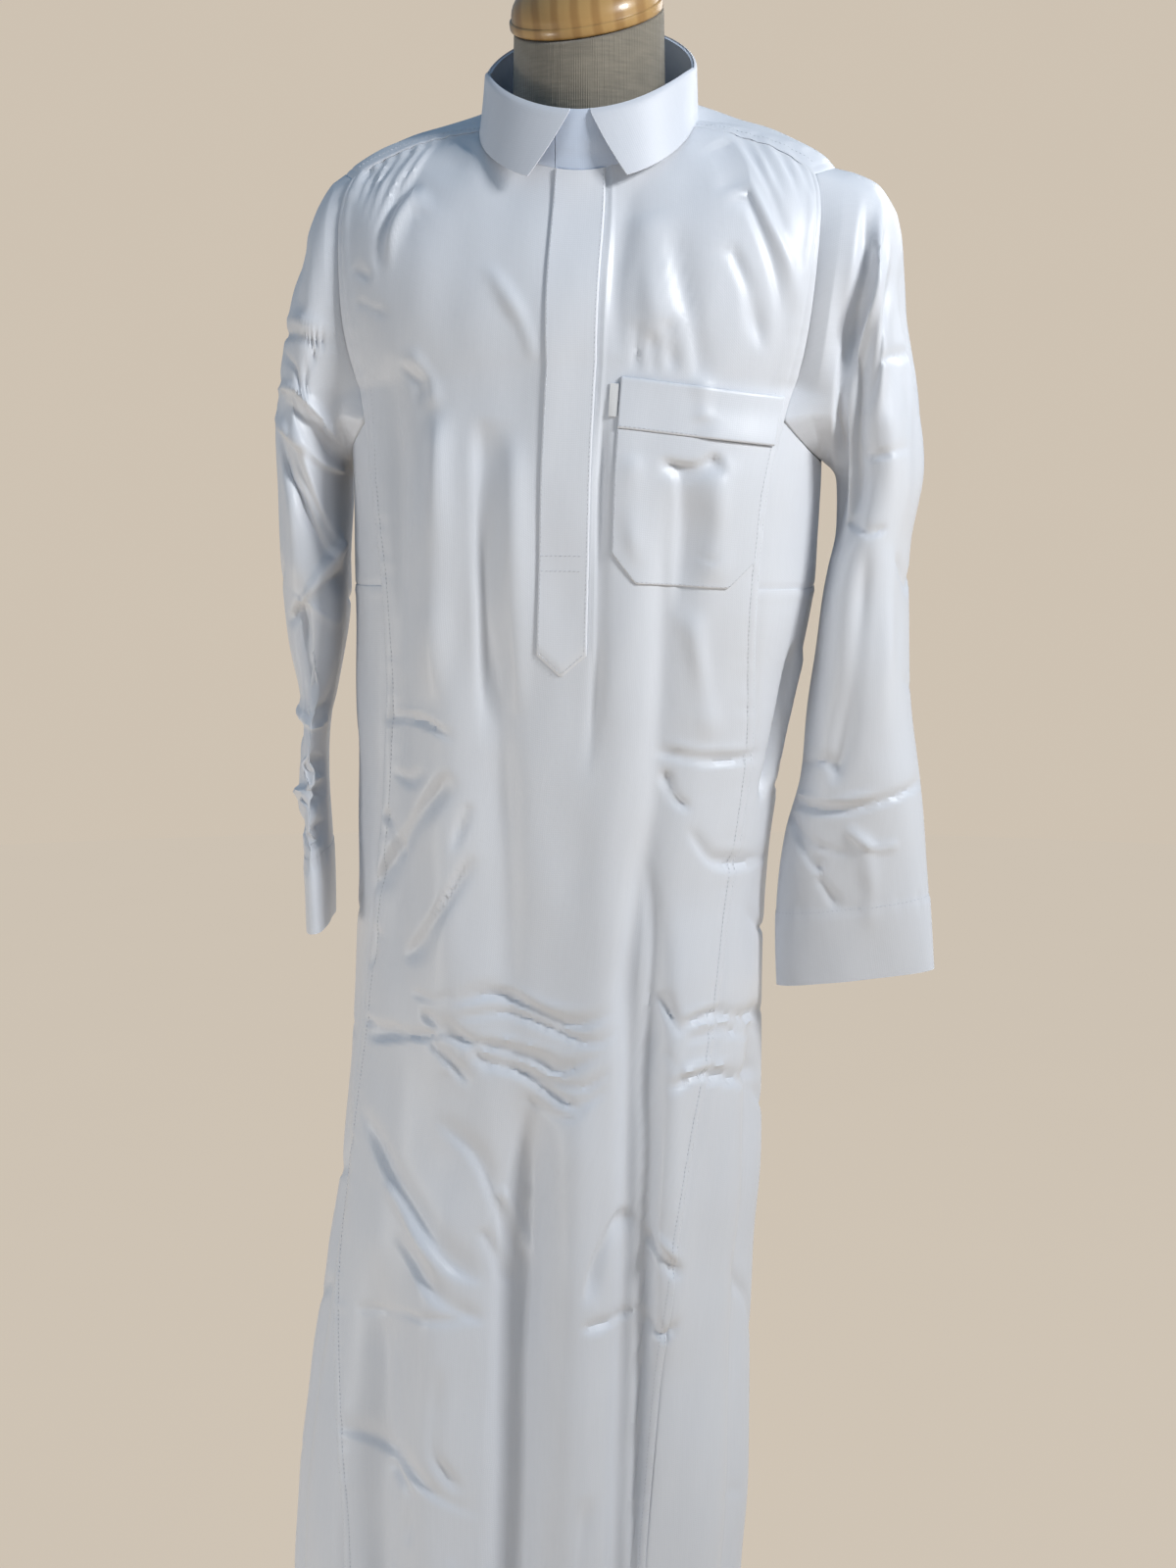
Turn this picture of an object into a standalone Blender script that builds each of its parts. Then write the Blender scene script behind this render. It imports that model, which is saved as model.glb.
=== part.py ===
"""Thobe robe on a dress form.

A full-length robe with a shirt collar on a stand, a covered front placket, a chest pocket,
long sleeves, underarm gussets and side gores, worn by a limbless linen dress form on a
round base. Units are metres, +Z is up, the robe faces -Y and the origin is on the floor
under the pole. The wearer's left is +X.
"""
import math

import bmesh
import bpy
import numpy as np

CLOTH = 0.0016
SEAM_GAP = 0.0004
EDGE_COLUMN = 0.005
CAP_GAP = 0.0016
YOKE_GAP = 0.0009
YOKE_CORNER_GAP = 0.0011
ARMHOLE_GAP = 0.0012
NECK_GAP = 0.0008
CAP_EDGE_ROW = 0.02
BACK_COLUMNS = 20
BACK_EDGE_SHARE = 0.012
LAYER_GAP = 0.0003
STEP = 0.0005

# Levels of the robe
CAP_Z = 1.340
HEM_Z = 0.130
GUSSET_TOP_Z = 1.312
GUSSET_DIP = 0.030
GUSSET_LOW_Z = 1.170
ROW_DROOP = 0.022
DROOP_END_Z = 1.000

# Rings of the robe below the shoulders
# height, centre x, half width, front depth, back depth, power
BODY_RINGS = (
    (1.340, -0.0040, 0.1950, 0.121, 0.113, 2.60),
    (1.250, -0.0033, 0.1933, 0.130, 0.118, 2.50),
    (1.150, -0.0065, 0.1895, 0.131, 0.117, 2.45),
    (1.060, -0.0150, 0.1820, 0.130, 0.116, 2.40),
    (1.000, -0.0185, 0.1765, 0.129, 0.116, 2.40),
    (0.900, -0.0250, 0.1720, 0.128, 0.116, 2.35),
    (0.760, -0.0290, 0.1765, 0.128, 0.118, 2.30),
    (0.660, -0.0350, 0.1820, 0.129, 0.120, 2.30),
    (0.585, -0.0440, 0.1850, 0.130, 0.122, 2.30),
    (0.490, -0.0530, 0.1920, 0.131, 0.124, 2.30),
    (0.400, -0.0590, 0.1980, 0.132, 0.126, 2.30),
    (0.300, -0.0655, 0.1985, 0.133, 0.128, 2.30),
    (0.130, -0.0710, 0.2000, 0.134, 0.130, 2.30),
)

# Seams between the front panel and the side pieces, and the front's middle line
# height, seam on the wearer's right, seam on the wearer's left, middle
FRONT_SEAMS = (
    (1.500, -0.198, 0.206, 0.0090),
    (1.420, -0.193, 0.192, 0.0060),
    (1.340, -0.180, 0.172, 0.0015),
    (1.294, -0.173, 0.162, -0.0005),
    (1.250, -0.167, 0.154, -0.0020),
    (1.154, -0.158, 0.146, -0.0040),
    (1.018, -0.161, 0.142, -0.0080),
    (0.903, -0.171, 0.126, -0.0130),
    (0.797, -0.184, 0.113, -0.0200),
    (0.714, -0.197, 0.097, -0.0300),
    (0.632, -0.211, 0.083, -0.0400),
    (0.505, -0.210, 0.073, -0.0480),
    (0.363, -0.199, 0.064, -0.0560),
    (0.130, -0.196, 0.056, -0.0640),
)
# height, seam on the wearer's right, seam on the wearer's left, middle
BACK_SEAMS = (
    (1.340, -0.180, 0.172, -0.0040),
    (1.158, -0.166, 0.148, -0.0140),
    (0.900, -0.172, 0.118, -0.0290),
    (0.585, -0.190, 0.098, -0.0460),
    (0.130, -0.214, 0.068, -0.0730),
)

# Neck seam, a tilted oval
NECK_HALF = 0.084
NECK_FRONT = 0.083
NECK_BACK = 0.074
NECK_X = 0.000
NECK_Z = 1.535
NECK_TILT = 0.55
NECK_DIP = 0.045
NECK_DIP_POWER = 1.6
FRONT_DROP_X = 0.003

# Shoulder slope: handles of the curve from the neck seam out to the cap ring
SIDE_REACH = 0.094
FRONT_REACH = 0.020
SIDE_LIFT = -0.008
FRONT_FALL = -0.050
SIDE_PUFF = 0.084
SIDE_RISE = 0.180
FRONT_RISE = 0.070
SHOULDER_POWER = 2.4
YOKE_ANGLE = 74.0
ARMHOLE_SHARE = 0.47
BACK_CORNER_ANGLE = 112.0
BACK_CORNER_SHARE = 0.60
BACK_YOKE_SHARE = 0.40
ARMHOLE_BOW = 5.0

# Largest folds: troughs are negative, ridges positive
# face, place at top, height at top, place at foot, height at foot, half width, depth
FOLDS = (
    ("front", 0.086, 1.27, 0.076, 1.02, 0.016, -0.009),
    ("front", 0.076, 1.02, 0.054, 0.88, 0.014, -0.011),
    ("front", 0.054, 0.88, 0.052, 0.63, 0.013, -0.013),
    ("front", 0.052, 0.63, 0.040, 0.13, 0.014, -0.015),
    ("front", 0.046, 1.22, 0.024, 0.80, 0.020, 0.005),
    ("front", 0.010, 0.80, -0.008, 0.13, 0.020, 0.012),
    ("front", -0.034, 0.78, -0.052, 0.13, 0.020, -0.020),
    ("front", -0.062, 1.16, -0.052, 0.86, 0.016, -0.006),
    ("front", -0.105, 1.30, -0.098, 0.84, 0.022, 0.006),
    ("front", -0.145, 1.16, -0.150, 0.92, 0.014, -0.006),
    ("front", -0.105, 0.70, -0.118, 0.13, 0.024, 0.010),
    ("front", -0.165, 0.62, -0.170, 0.13, 0.020, -0.012),
    ("front", 0.095, 0.92, 0.080, 0.60, 0.018, 0.006),
    ("back", 0.000, 1.20, -0.030, 0.13, 0.022, -0.018),
    ("back", -0.078, 1.06, -0.110, 0.13, 0.020, -0.016),
    ("back", 0.070, 1.10, 0.030, 0.13, 0.018, -0.015),
    ("back", -0.040, 1.12, -0.070, 0.13, 0.018, 0.010),
    ("back", 0.036, 1.12, 0.002, 0.13, 0.018, 0.010),
    ("left", 0.030, 0.92, 0.034, 0.13, 0.018, -0.014),
    ("left", -0.030, 0.84, -0.040, 0.13, 0.018, -0.012),
    ("right", 0.024, 0.96, 0.030, 0.13, 0.018, -0.014),
    ("right", -0.042, 0.74, -0.050, 0.13, 0.018, -0.010),
)
FOLD_FADE = 0.10

# Gathers below the front yoke seams, on the wearer's right and left
RIGHT_GATHERS = 7
LEFT_GATHERS = 5
GATHER_DEPTH = 0.0022
GATHER_START = 0.07
GATHER_LENGTH = 0.55

# Sleeves: outer edge and inner edge of each ring, with its depth front to back
# outer x, outer z, inner x, inner z, middle y, half depth, turn to the wearer's left at the front
LEFT_SLEEVE = (
    (0.2260, 1.490, 0.1960, 1.258, 0.000, 0.080, 0.00),
    (0.2420, 1.478, 0.2000, 1.255, 0.000, 0.081, 0.00),
    (0.2520, 1.448, 0.2030, 1.249, 0.000, 0.081, 0.00),
    (0.2560, 1.410, 0.2040, 1.238, 0.000, 0.080, 0.00),
    (0.2600, 1.362, 0.2040, 1.222, 0.000, 0.078, 0.00),
    (0.2690, 1.310, 0.2030, 1.200, 0.000, 0.074, 0.00),
    (0.2740, 1.255, 0.1980, 1.175, 0.000, 0.072, 0.00),
    (0.2640, 1.195, 0.1930, 1.145, 0.000, 0.074, 0.00),
    (0.2640, 1.130, 0.1880, 1.102, -0.002, 0.073, 0.00),
    (0.2680, 1.070, 0.1820, 1.058, -0.006, 0.066, 0.00),
    (0.2750, 1.010, 0.1760, 1.003, -0.010, 0.056, 0.00),
    (0.2810, 0.960, 0.1650, 0.955, -0.014, 0.044, 0.00),
    (0.2850, 0.910, 0.1590, 0.900, -0.018, 0.031, 0.00),
    (0.2900, 0.845, 0.1610, 0.828, -0.020, 0.019, 0.00),
)
RIGHT_SLEEVE = (
    (-0.2200, 1.484, -0.2030, 1.258, 0.000, 0.080, 0.00),
    (-0.2290, 1.462, -0.2045, 1.255, 0.000, 0.081, 0.00),
    (-0.2390, 1.426, -0.2055, 1.249, 0.000, 0.081, 0.00),
    (-0.2480, 1.385, -0.2065, 1.240, 0.000, 0.080, 0.00),
    (-0.2560, 1.340, -0.2075, 1.226, 0.000, 0.079, 0.02),
    (-0.2620, 1.290, -0.2080, 1.205, 0.000, 0.078, 0.04),
    (-0.2605, 1.235, -0.2085, 1.178, 0.000, 0.079, 0.06),
    (-0.2600, 1.165, -0.2090, 1.145, 0.000, 0.082, 0.08),
    (-0.2550, 1.115, -0.2120, 1.108, -0.003, 0.080, 0.10),
    (-0.2450, 1.072, -0.2190, 1.064, -0.006, 0.076, 0.12),
    (-0.2405, 1.030, -0.2260, 1.028, -0.010, 0.073, 0.14),
    (-0.2420, 0.985, -0.2250, 0.984, -0.014, 0.071, 0.14),
    (-0.2420, 0.930, -0.2220, 0.928, -0.018, 0.069, 0.14),
    (-0.2385, 0.872, -0.2210, 0.874, -0.020, 0.068, 0.14),
)
SLEEVE_UNDER_GAP = 0.0010
SLEEVE_ROWS = 17
SLEEVE_SEGMENTS = 24
# Largest sleeve folds: angle from the outer edge towards the front, share of length
# sleeve, angle at top, share at top, angle at foot, share at foot, half width in degrees, depth
SLEEVE_FOLDS = (
    ("left", 92.0, 0.03, 112.0, 0.42, 17.0, -0.016),
    ("left", 58.0, 0.10, 66.0, 0.44, 16.0, 0.007),
    ("left", 30.0, 0.16, 28.0, 0.50, 14.0, -0.005),
    ("left", 255.0, 0.06, 240.0, 0.46, 20.0, -0.012),
    ("right", 62.0, 0.36, 128.0, 0.46, 16.0, -0.009),
    ("right", 96.0, 0.30, 150.0, 0.40, 16.0, 0.006),
    ("right", 88.0, 0.56, 74.0, 0.74, 22.0, -0.010),
    ("right", 255.0, 0.10, 245.0, 0.50, 22.0, -0.012),
)

# Collar
STAND_HEIGHT = 0.041
STAND_MIDDLE_EXTRA = 0.005
STAND_END_ANGLE = -14.0
STAND_SLIT = 0.5
LEAF_OPENING = 5.5
LEAF_GAP = 0.0022
LEAF_FRONT_DROP = 0.040
LEAF_SIDE_DROP = 0.043
LEAF_BACK_DROP = 0.047
LEAF_SPREAD = 0.0015
LEAF_FRONT_SPREAD = 0.0170
LEAF_POINT_SWING = 19.0
LEAF_REST = 0.0022

# Front trim
PLACKET_HALF = 0.0200
PLACKET_END_Z = 1.113
PLACKET_POINT = 0.018
POCKET_IN = 0.040
POCKET_EDGE_IN = 0.005
POCKET_TOP_Z = 1.332
POCKET_BAND_Z = 1.291
POCKET_CORNER_Z = 1.200
POCKET_LOW_Z = 1.170
POCKET_CORNER_SHARE = 0.22
TAB_WIDTH = 0.007
TAB_TOP_Z = 1.326
TAB_LOW_Z = 1.300

# Dress form
FORM_SHOULDER_GAP = 0.0008
FORM_BODY_GAP = 0.010
# height, half width, half depth
FORM_RINGS = (
    (1.260, 0.160, 0.094),
    (1.120, 0.138, 0.082),
    (1.040, 0.130, 0.078),
    (0.940, 0.134, 0.080),
    (0.860, 0.132, 0.080),
    (0.800, 0.126, 0.076),
)
NECK_BLOCK_X = -0.003
NECK_BLOCK_RADIUS = 0.0610
NECK_BLOCK_TOP_Z = 1.617
FORM_NECK_DROP = 0.010
FORM_NECK_IN = 0.010
FORM_NECK_TILT = 0.45
NECK_BLOCK_TILT = 22.0
NECK_BLOCK_ROLL = 6.5
CAP_RIM_RADIUS = 0.0630
CAP_RIM_HEIGHT = 0.009
CAP_HEIGHT = 0.034
POLE_RADIUS = 0.016
POLE_LOW_Z = 0.0253
BASE_RADIUS = 0.200
BASE_HEIGHT = 0.025
SEGMENTS = 28


def read_rows(table, height):
    """Read a table whose first column is a falling height, with smooth steps between rows."""
    heights = [row[0] for row in table]
    if height >= heights[0]:
        return table[0][1:]
    if height <= heights[-1]:
        return table[-1][1:]
    index = next(i for i in range(len(heights) - 1) if heights[i + 1] <= height)
    return smooth_between(table, index, (heights[index] - height) / (heights[index] - heights[index + 1]), 1)


def smooth_between(table, index, share, first):
    """Catmull-Rom curve through a table's rows, from one row to the next."""
    rows = [table[min(max(index + k, 0), len(table) - 1)] for k in (-1, 0, 1, 2)]
    values = []
    for a, b, c, d in zip(*(row[first:] for row in rows)):
        curve = 2 * b + (c - a) * share + (2 * a - 5 * b + 4 * c - d) * share ** 2
        values.append(0.5 * (curve + (3 * b - a - 3 * c + d) * share ** 3))
    return tuple(values)


def smooth(share):
    share = min(max(share, 0.0), 1.0)
    return share * share * (3 - 2 * share)


def mix(a, b, share):
    return a + (b - a) * share


def ring_radius(angle, half_width, depth, power):
    across = abs(math.sin(angle)) / half_width
    along = abs(math.cos(angle)) / depth
    return (across ** power + along ** power) ** (-1.0 / power)


def fold_depth(x, y, z, angle):
    """Sum of the largest folds at a point of the robe's plain surface."""
    faces = {
        "front": (x, math.cos(angle)),
        "back": (x, -math.cos(angle)),
        "left": (y, math.sin(angle)),
        "right": (y, -math.sin(angle)),
    }
    total = 0.0
    for face, top_place, top_z, foot_place, foot_z, half_width, depth in FOLDS:
        place, facing = faces[face]
        if facing < 0.25 or z > top_z or z < foot_z - FOLD_FADE:
            continue
        middle = mix(top_place, foot_place, (top_z - z) / (top_z - foot_z))
        fade = smooth((top_z - z) / FOLD_FADE)
        if foot_z > HEM_Z:
            fade *= smooth((z - foot_z + FOLD_FADE) / FOLD_FADE)
        fade *= smooth((facing - 0.25) / 0.3)
        total += depth * fade * math.exp(-((place - middle) / half_width) ** 2)
    return total


def lower_point(angle, height):
    """Point of the robe below the cap ring; height is taken on the front's middle line."""
    centre_x, half_width, front, back, power = read_rows(BODY_RINGS, height)
    depth = front if math.cos(angle) > 0 else back
    radius = ring_radius(angle, half_width, depth, power)
    droop = ROW_DROOP * smooth((height - DROOP_END_Z) / (CAP_Z - DROOP_END_Z))
    x = centre_x + radius * math.sin(angle)
    y = -radius * math.cos(angle)
    z = height - droop * math.sin(angle) ** 2
    depth = fold_depth(x, y, z, angle)
    return np.array((x + depth * math.sin(angle), y - depth * math.cos(angle), z))


def neck_rise(y):
    """Rise of the neck seam towards the back and its dip towards the front."""
    if y > 0:
        return NECK_TILT * y
    return -NECK_DIP * (-y / NECK_FRONT) ** NECK_DIP_POWER


def neck_point(angle, lift=0.0, widen=0.0):
    """Point of the neck seam's tilted oval, raised along the collar and widened."""
    depth = NECK_FRONT if math.cos(angle) > 0 else NECK_BACK
    radius = ring_radius(angle, NECK_HALF, depth, 2.0) + widen
    shift = FRONT_DROP_X * max(math.cos(angle), 0.0) ** 3
    x = NECK_X + shift + radius * math.sin(angle)
    y = -radius * math.cos(angle)
    return np.array((x, y, NECK_Z + neck_rise(y) + lift))


def cap_point(angle, share):
    """Point between the neck seam, share 0, and the cap ring, share 1."""
    side = abs(math.sin(angle)) ** SHOULDER_POWER
    start = neck_point(angle)
    end = lower_point(angle, CAP_Z)
    out = np.array((math.sin(angle), -0.5 * math.cos(angle), 0.0))
    first = start + out * mix(FRONT_REACH, SIDE_REACH, side)
    first[2] += mix(FRONT_FALL, SIDE_LIFT, side)
    second = end + np.array((math.sin(angle) * SIDE_PUFF * side, 0.0, mix(FRONT_RISE, SIDE_RISE, side)))
    rest = 1.0 - share
    point = rest ** 3 * start + 3 * rest ** 2 * share * first
    return point + 3 * rest * share ** 2 * second + share ** 3 * end


def robe_point(angle, level):
    """Robe surface: level 0 to 1 is the cap, and 1 plus metres below the cap ring."""
    if level <= 1.0:
        return cap_point(angle, max(level, 0.0))
    return lower_point(angle, CAP_Z - (level - 1.0))


def moved_out(angle, level, lift):
    """Robe surface moved out along its normal."""
    turn = STEP / 0.1
    below = max(level - 0.002, 0.0)
    around = robe_point(angle + turn, level) - robe_point(angle - turn, level)
    down = robe_point(angle, below + 0.004) - robe_point(angle, below)
    normal = np.cross(down, around)
    return robe_point(angle, level) + normal / np.linalg.norm(normal) * lift


def level_of(height):
    return 1.0 + CAP_Z - height


def angle_at(x, height, face):
    """Angle of the ring point at a given x, on the front or the back."""
    centre_x, half_width, front, back, power = read_rows(BODY_RINGS, height)
    across = min(abs(x - centre_x) / half_width, 0.995)
    depth = front if face == "front" else back
    along = depth * (1 - across ** power) ** (1 / power)
    angle = math.copysign(math.atan2(across * half_width, along), x - centre_x)
    if face == "front":
        return angle
    return math.copysign(math.pi, angle) - angle


def seam_angle(side, height, face):
    """Angle of a side seam of the front or back panel; side is 1 on the wearer's left."""
    right_x, left_x, _ = read_rows(FRONT_SEAMS if face == "front" else BACK_SEAMS, height)
    return angle_at(left_x if side > 0 else right_x, height, face)


def armhole_angle(side, share, face):
    """Angle of the armhole on the cap, from the yoke's corner down to the cap ring."""
    if face == "front":
        top, begin = math.radians(YOKE_ANGLE) * side, ARMHOLE_SHARE
    else:
        top, begin = math.radians(BACK_CORNER_ANGLE) * side, BACK_CORNER_SHARE
    foot = seam_angle(side, CAP_Z, face)
    along = (share - begin) / (1 - begin)
    bow = math.radians(ARMHOLE_BOW) * math.sin(math.pi * along) * side
    return mix(top, foot, along) + (bow if face == "back" else -bow)


def front_station(offset, level):
    """Angle and level of a front panel point, by its cut distance from the middle line."""
    side = 1 if offset >= 0 else -1
    if level > 1.0:
        height = CAP_Z - (level - 1.0)
        right_x, left_x, middle = read_rows(FRONT_SEAMS, height)
        right_cap, left_cap, middle_cap = read_rows(FRONT_SEAMS, CAP_Z)
        reach = (left_x - middle) if side > 0 else (middle - right_x)
        cap_reach = (left_cap - middle_cap) if side > 0 else (middle_cap - right_cap)
        kept = min(abs(offset), PLACKET_HALF)
        spread = (abs(offset) - kept) / (cap_reach - PLACKET_HALF)
        x = middle + side * (kept + spread * (reach - PLACKET_HALF))
        return angle_at(x, height, "front"), level
    right_cap, left_cap, middle_cap = read_rows(FRONT_SEAMS, CAP_Z)
    reach = (left_cap - middle_cap) if side > 0 else (middle_cap - right_cap)
    foot = angle_at(middle_cap + offset, CAP_Z, "front")
    if abs(offset) <= neck_reach():
        top = math.asin(offset / NECK_HALF)
        top_level = 0.0
    else:
        top = math.radians(YOKE_ANGLE) * side
        top_level = ARMHOLE_SHARE * (abs(offset) - neck_reach()) / (reach - neck_reach())
    bow = math.radians(ARMHOLE_BOW) * math.sin(math.pi * level) * offset / reach
    return mix(top, foot, level) - bow, mix(top_level, 1.0, level)


def neck_reach():
    """Distance from the middle line to where the yoke seam meets the neck seam."""
    return NECK_HALF * math.sin(math.radians(YOKE_ANGLE))


def front_reach(side):
    right_cap, left_cap, middle = read_rows(FRONT_SEAMS, CAP_Z)
    return (left_cap - middle if side > 0 else middle - right_cap) - SEAM_GAP / 2


def front_offsets():
    """Cut distances of the front panel's columns, on the placket's and pocket's edges too."""
    right = list(np.linspace(EDGE_COLUMN - front_reach(-1), -neck_reach(), 2 * RIGHT_GATHERS + 1))
    right += list(np.linspace(-neck_reach(), -PLACKET_HALF, 5))[1:]
    middle = [-PLACKET_HALF / 2, 0.0, PLACKET_HALF / 2, PLACKET_HALF, (PLACKET_HALF + POCKET_IN) / 2]
    left = list(np.linspace(POCKET_IN, neck_reach(), 4))[:-1]
    left += list(np.linspace(neck_reach(), front_reach(1) - EDGE_COLUMN, 2 * LEFT_GATHERS + 1))
    return [-front_reach(-1)] + right + middle + left + [front_reach(1)]


def gather_lift(offset, level):
    """Gathers below the yoke seam, which run down from it and fade out on the chest."""
    side = 1 if offset > 0 else -1
    across = (abs(offset) - neck_reach()) / (front_reach(side) - EDGE_COLUMN - neck_reach())
    if not 0.0 <= across <= 1.0 or level > 1.0:
        return 0.0
    count = LEFT_GATHERS if side > 0 else RIGHT_GATHERS
    fade = smooth(level / GATHER_START) * smooth((GATHER_START + GATHER_LENGTH - level) / GATHER_LENGTH)
    return GATHER_DEPTH * fade * math.cos(2 * math.pi * count * across)


def row_heights():
    """Heights of the rows below the cap, which all panels share so that seams match."""
    marks = [POCKET_TOP_Z, GUSSET_TOP_Z, POCKET_BAND_Z, 1.26, 1.23, POCKET_CORNER_Z, POCKET_LOW_Z, 1.141]
    return marks + [PLACKET_END_Z] + list(np.linspace(1.06, HEM_Z, 13))


def front_levels():
    """Levels of the front panel's rows, on the pocket's and placket's edges too."""
    return [0.0] + list(np.linspace(CAP_EDGE_ROW, 1.0, 8)) + [level_of(height) for height in row_heights()]


def front_point(offset, level, lift=0.0):
    """Front panel point, moved out by a lift and by the gathers."""
    angle, place = front_station(offset, level)
    if level < 1.0 and abs(offset) > neck_reach():
        top_place = front_station(offset, 0.0)[1]
        gap = mix(YOKE_GAP, YOKE_CORNER_GAP, top_place / ARMHOLE_SHARE) / NECK_HALF
        angle -= math.copysign(gap * (1.0 - level), angle)
    return moved_out(angle, place, lift + gather_lift(offset, level))


def grid_mesh(name, columns, rows, point, closed=False):
    """Mesh of a grid whose points a function places; a closed grid is welded round."""
    mesh = bpy.data.meshes.new(name)
    work = bmesh.new()
    bmesh.ops.create_grid(work, x_segments=columns, y_segments=rows, size=0.5)
    for vertex in work.verts:
        column = round((vertex.co.x + 0.5) * columns)
        row = round((0.5 - vertex.co.y) * rows)
        vertex.co = point(column, row)
    if closed:
        bmesh.ops.remove_doubles(work, verts=work.verts, dist=0.00001)
    bmesh.ops.recalc_face_normals(work, faces=work.faces)
    work.to_mesh(mesh)
    work.free()
    return mesh


def faces_out(mesh, centre_of):
    """Turn a mesh whose faces look towards its own middle line."""
    score = 0.0
    for face in mesh.polygons:
        score += face.normal.dot(face.center - centre_of(face.center)) * face.area
    if score < 0:
        mesh.flip_normals()


def body_middle(point):
    """Middle line of the robe at a point's height."""
    middle = point.copy()
    middle.x = read_rows(BODY_RINGS, point.z)[0]
    middle.y = 0.0
    if point.z > 1.45:
        middle.z = 1.35
    return middle


class Maker:
    """Makes each named piece with its own material in one collection."""

    def __init__(self, name):
        self.collection = bpy.data.collections.new(name)
        bpy.context.scene.collection.children.link(self.collection)

    def add(self, name, mesh, colour, roughness=0.6, metallic=0.0, wall=0.0, outward=False):
        material = bpy.data.materials.new(name)
        material.use_nodes = True
        shader = material.node_tree.nodes["Principled BSDF"]
        shader.inputs["Base Color"].default_value = (*colour, 1.0)
        shader.inputs["Roughness"].default_value = roughness
        shader.inputs["Metallic"].default_value = metallic
        mesh.materials.append(material)
        mesh.shade_smooth()
        thing = bpy.data.objects.new(name, mesh)
        self.collection.objects.link(thing)
        if wall:
            shell = thing.modifiers.new("wall", "SOLIDIFY")
            shell.thickness = wall
            shell.offset = 1.0 if outward else -1.0
            shell.use_even_offset = False
        return thing


WHITE = (0.78, 0.80, 0.84)
LINEN = (0.34, 0.30, 0.24)
WOOD = (0.42, 0.26, 0.10)
STEEL = (0.10, 0.10, 0.11)


def add_front(maker):
    offsets, levels = front_offsets(), front_levels()
    mesh = grid_mesh("front_panel", len(offsets) - 1, len(levels) - 1,
                     lambda column, row: front_point(offsets[column], levels[row]))
    faces_out(mesh, body_middle)
    maker.add("front_panel", mesh, WHITE, wall=CLOTH)


def add_placket(maker):
    offsets = [offset for offset in front_offsets() if abs(offset) < PLACKET_HALF + 0.001]
    levels = [level for level in front_levels() if level <= level_of(PLACKET_END_Z) + 0.001]
    last = len(levels) - 1

    def point(column, row):
        if row <= last:
            return front_point(offsets[column], levels[row], LAYER_GAP)
        drop = PLACKET_POINT * (1 - abs(offsets[column]) / PLACKET_HALF)
        return front_point(offsets[column], levels[last] + max(drop, 0.0015), LAYER_GAP)

    mesh = grid_mesh("placket", len(offsets) - 1, last + 1, point)
    faces_out(mesh, body_middle)
    maker.add("placket", mesh, WHITE, wall=CLOTH, outward=True)


def pocket_offsets():
    offsets = front_offsets()
    return offsets[offsets.index(POCKET_IN):-1]


def add_pocket(maker):
    offsets = pocket_offsets()
    levels = [level for level in front_levels() if level_of(POCKET_TOP_Z) - 0.001 <= level]
    levels = [level for level in levels if level <= level_of(POCKET_LOW_Z) + 0.001]
    band = levels.index(level_of(POCKET_BAND_Z))
    width = offsets[-1] - offsets[0]

    def body_point(column, row):
        offset, level = offsets[column], levels[band + row]
        if row == 0:
            level += SEAM_GAP
        if levels[band + row] == levels[-1]:
            edge = min(offset - offsets[0], offsets[-1] - offset) / width
            level -= 0.019 * max(1 - edge / POCKET_CORNER_SHARE, 0.0)
        return front_point(offset, level, LAYER_GAP)

    mesh = grid_mesh("chest_pocket", len(offsets) - 1, len(levels) - 1 - band, body_point)
    faces_out(mesh, body_middle)
    maker.add("chest_pocket", mesh, WHITE, wall=CLOTH, outward=True)
    mesh = grid_mesh("pocket_band", len(offsets) - 1, band,
                     lambda column, row: front_point(offsets[column], levels[row], LAYER_GAP))
    faces_out(mesh, body_middle)
    maker.add("pocket_band", mesh, WHITE, wall=CLOTH * 1.4, outward=True)


def add_tab(maker):
    """Small bare tab let into the pocket band's inner end."""
    outer = POCKET_IN - SEAM_GAP - 0.0006
    inner = outer - TAB_WIDTH
    lift = LAYER_GAP + 0.0008

    def point(column, row):
        height = mix(TAB_TOP_Z, TAB_LOW_Z, row)
        return front_point(mix(inner, outer, column), level_of(height), lift)

    mesh = grid_mesh("pocket_tab", 1, 1, point)
    faces_out(mesh, body_middle)
    maker.add("pocket_tab", mesh, WHITE, wall=0.0010, outward=True)


def back_seam_share(across):
    return mix(BACK_YOKE_SHARE, BACK_CORNER_SHARE, abs(across) ** 3)


def back_point(across, level):
    """Back panel point; across runs from 1 on the wearer's left to -1."""
    side = 1 if across >= 0 else -1
    if level > 1.0:
        height = CAP_Z - (level - 1.0)
        edge = seam_angle(side, height, "back")
        place = level
    else:
        place = mix(BACK_CORNER_SHARE, 1.0, level)
        edge = armhole_angle(side, place, "back")
        place = mix(back_seam_share(across) + CAP_GAP, 1.0, level)
    reach = math.pi - abs(edge) - SEAM_GAP / 2 / 0.17
    angle = side * (math.pi - reach * abs(across))
    return robe_point(angle, place)


def edged_shares(count, edge_share):
    """Even shares from 0 to 1 with a narrow column at each end, so edge walls stand square."""
    return [0.0] + list(np.linspace(edge_share, 1.0 - edge_share, count - 1)) + [1.0]


def add_back(maker):
    shares = edged_shares(BACK_COLUMNS, BACK_EDGE_SHARE)
    levels = list(np.linspace(0.0, 1.0, 8)) + [level_of(height) for height in row_heights()]
    mesh = grid_mesh("back_panel", len(shares) - 1, len(levels) - 1,
                     lambda column, row: back_point(mix(1.0, -1.0, shares[column]), levels[row]))
    faces_out(mesh, body_middle)
    maker.add("back_panel", mesh, WHITE, wall=CLOTH)


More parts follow.
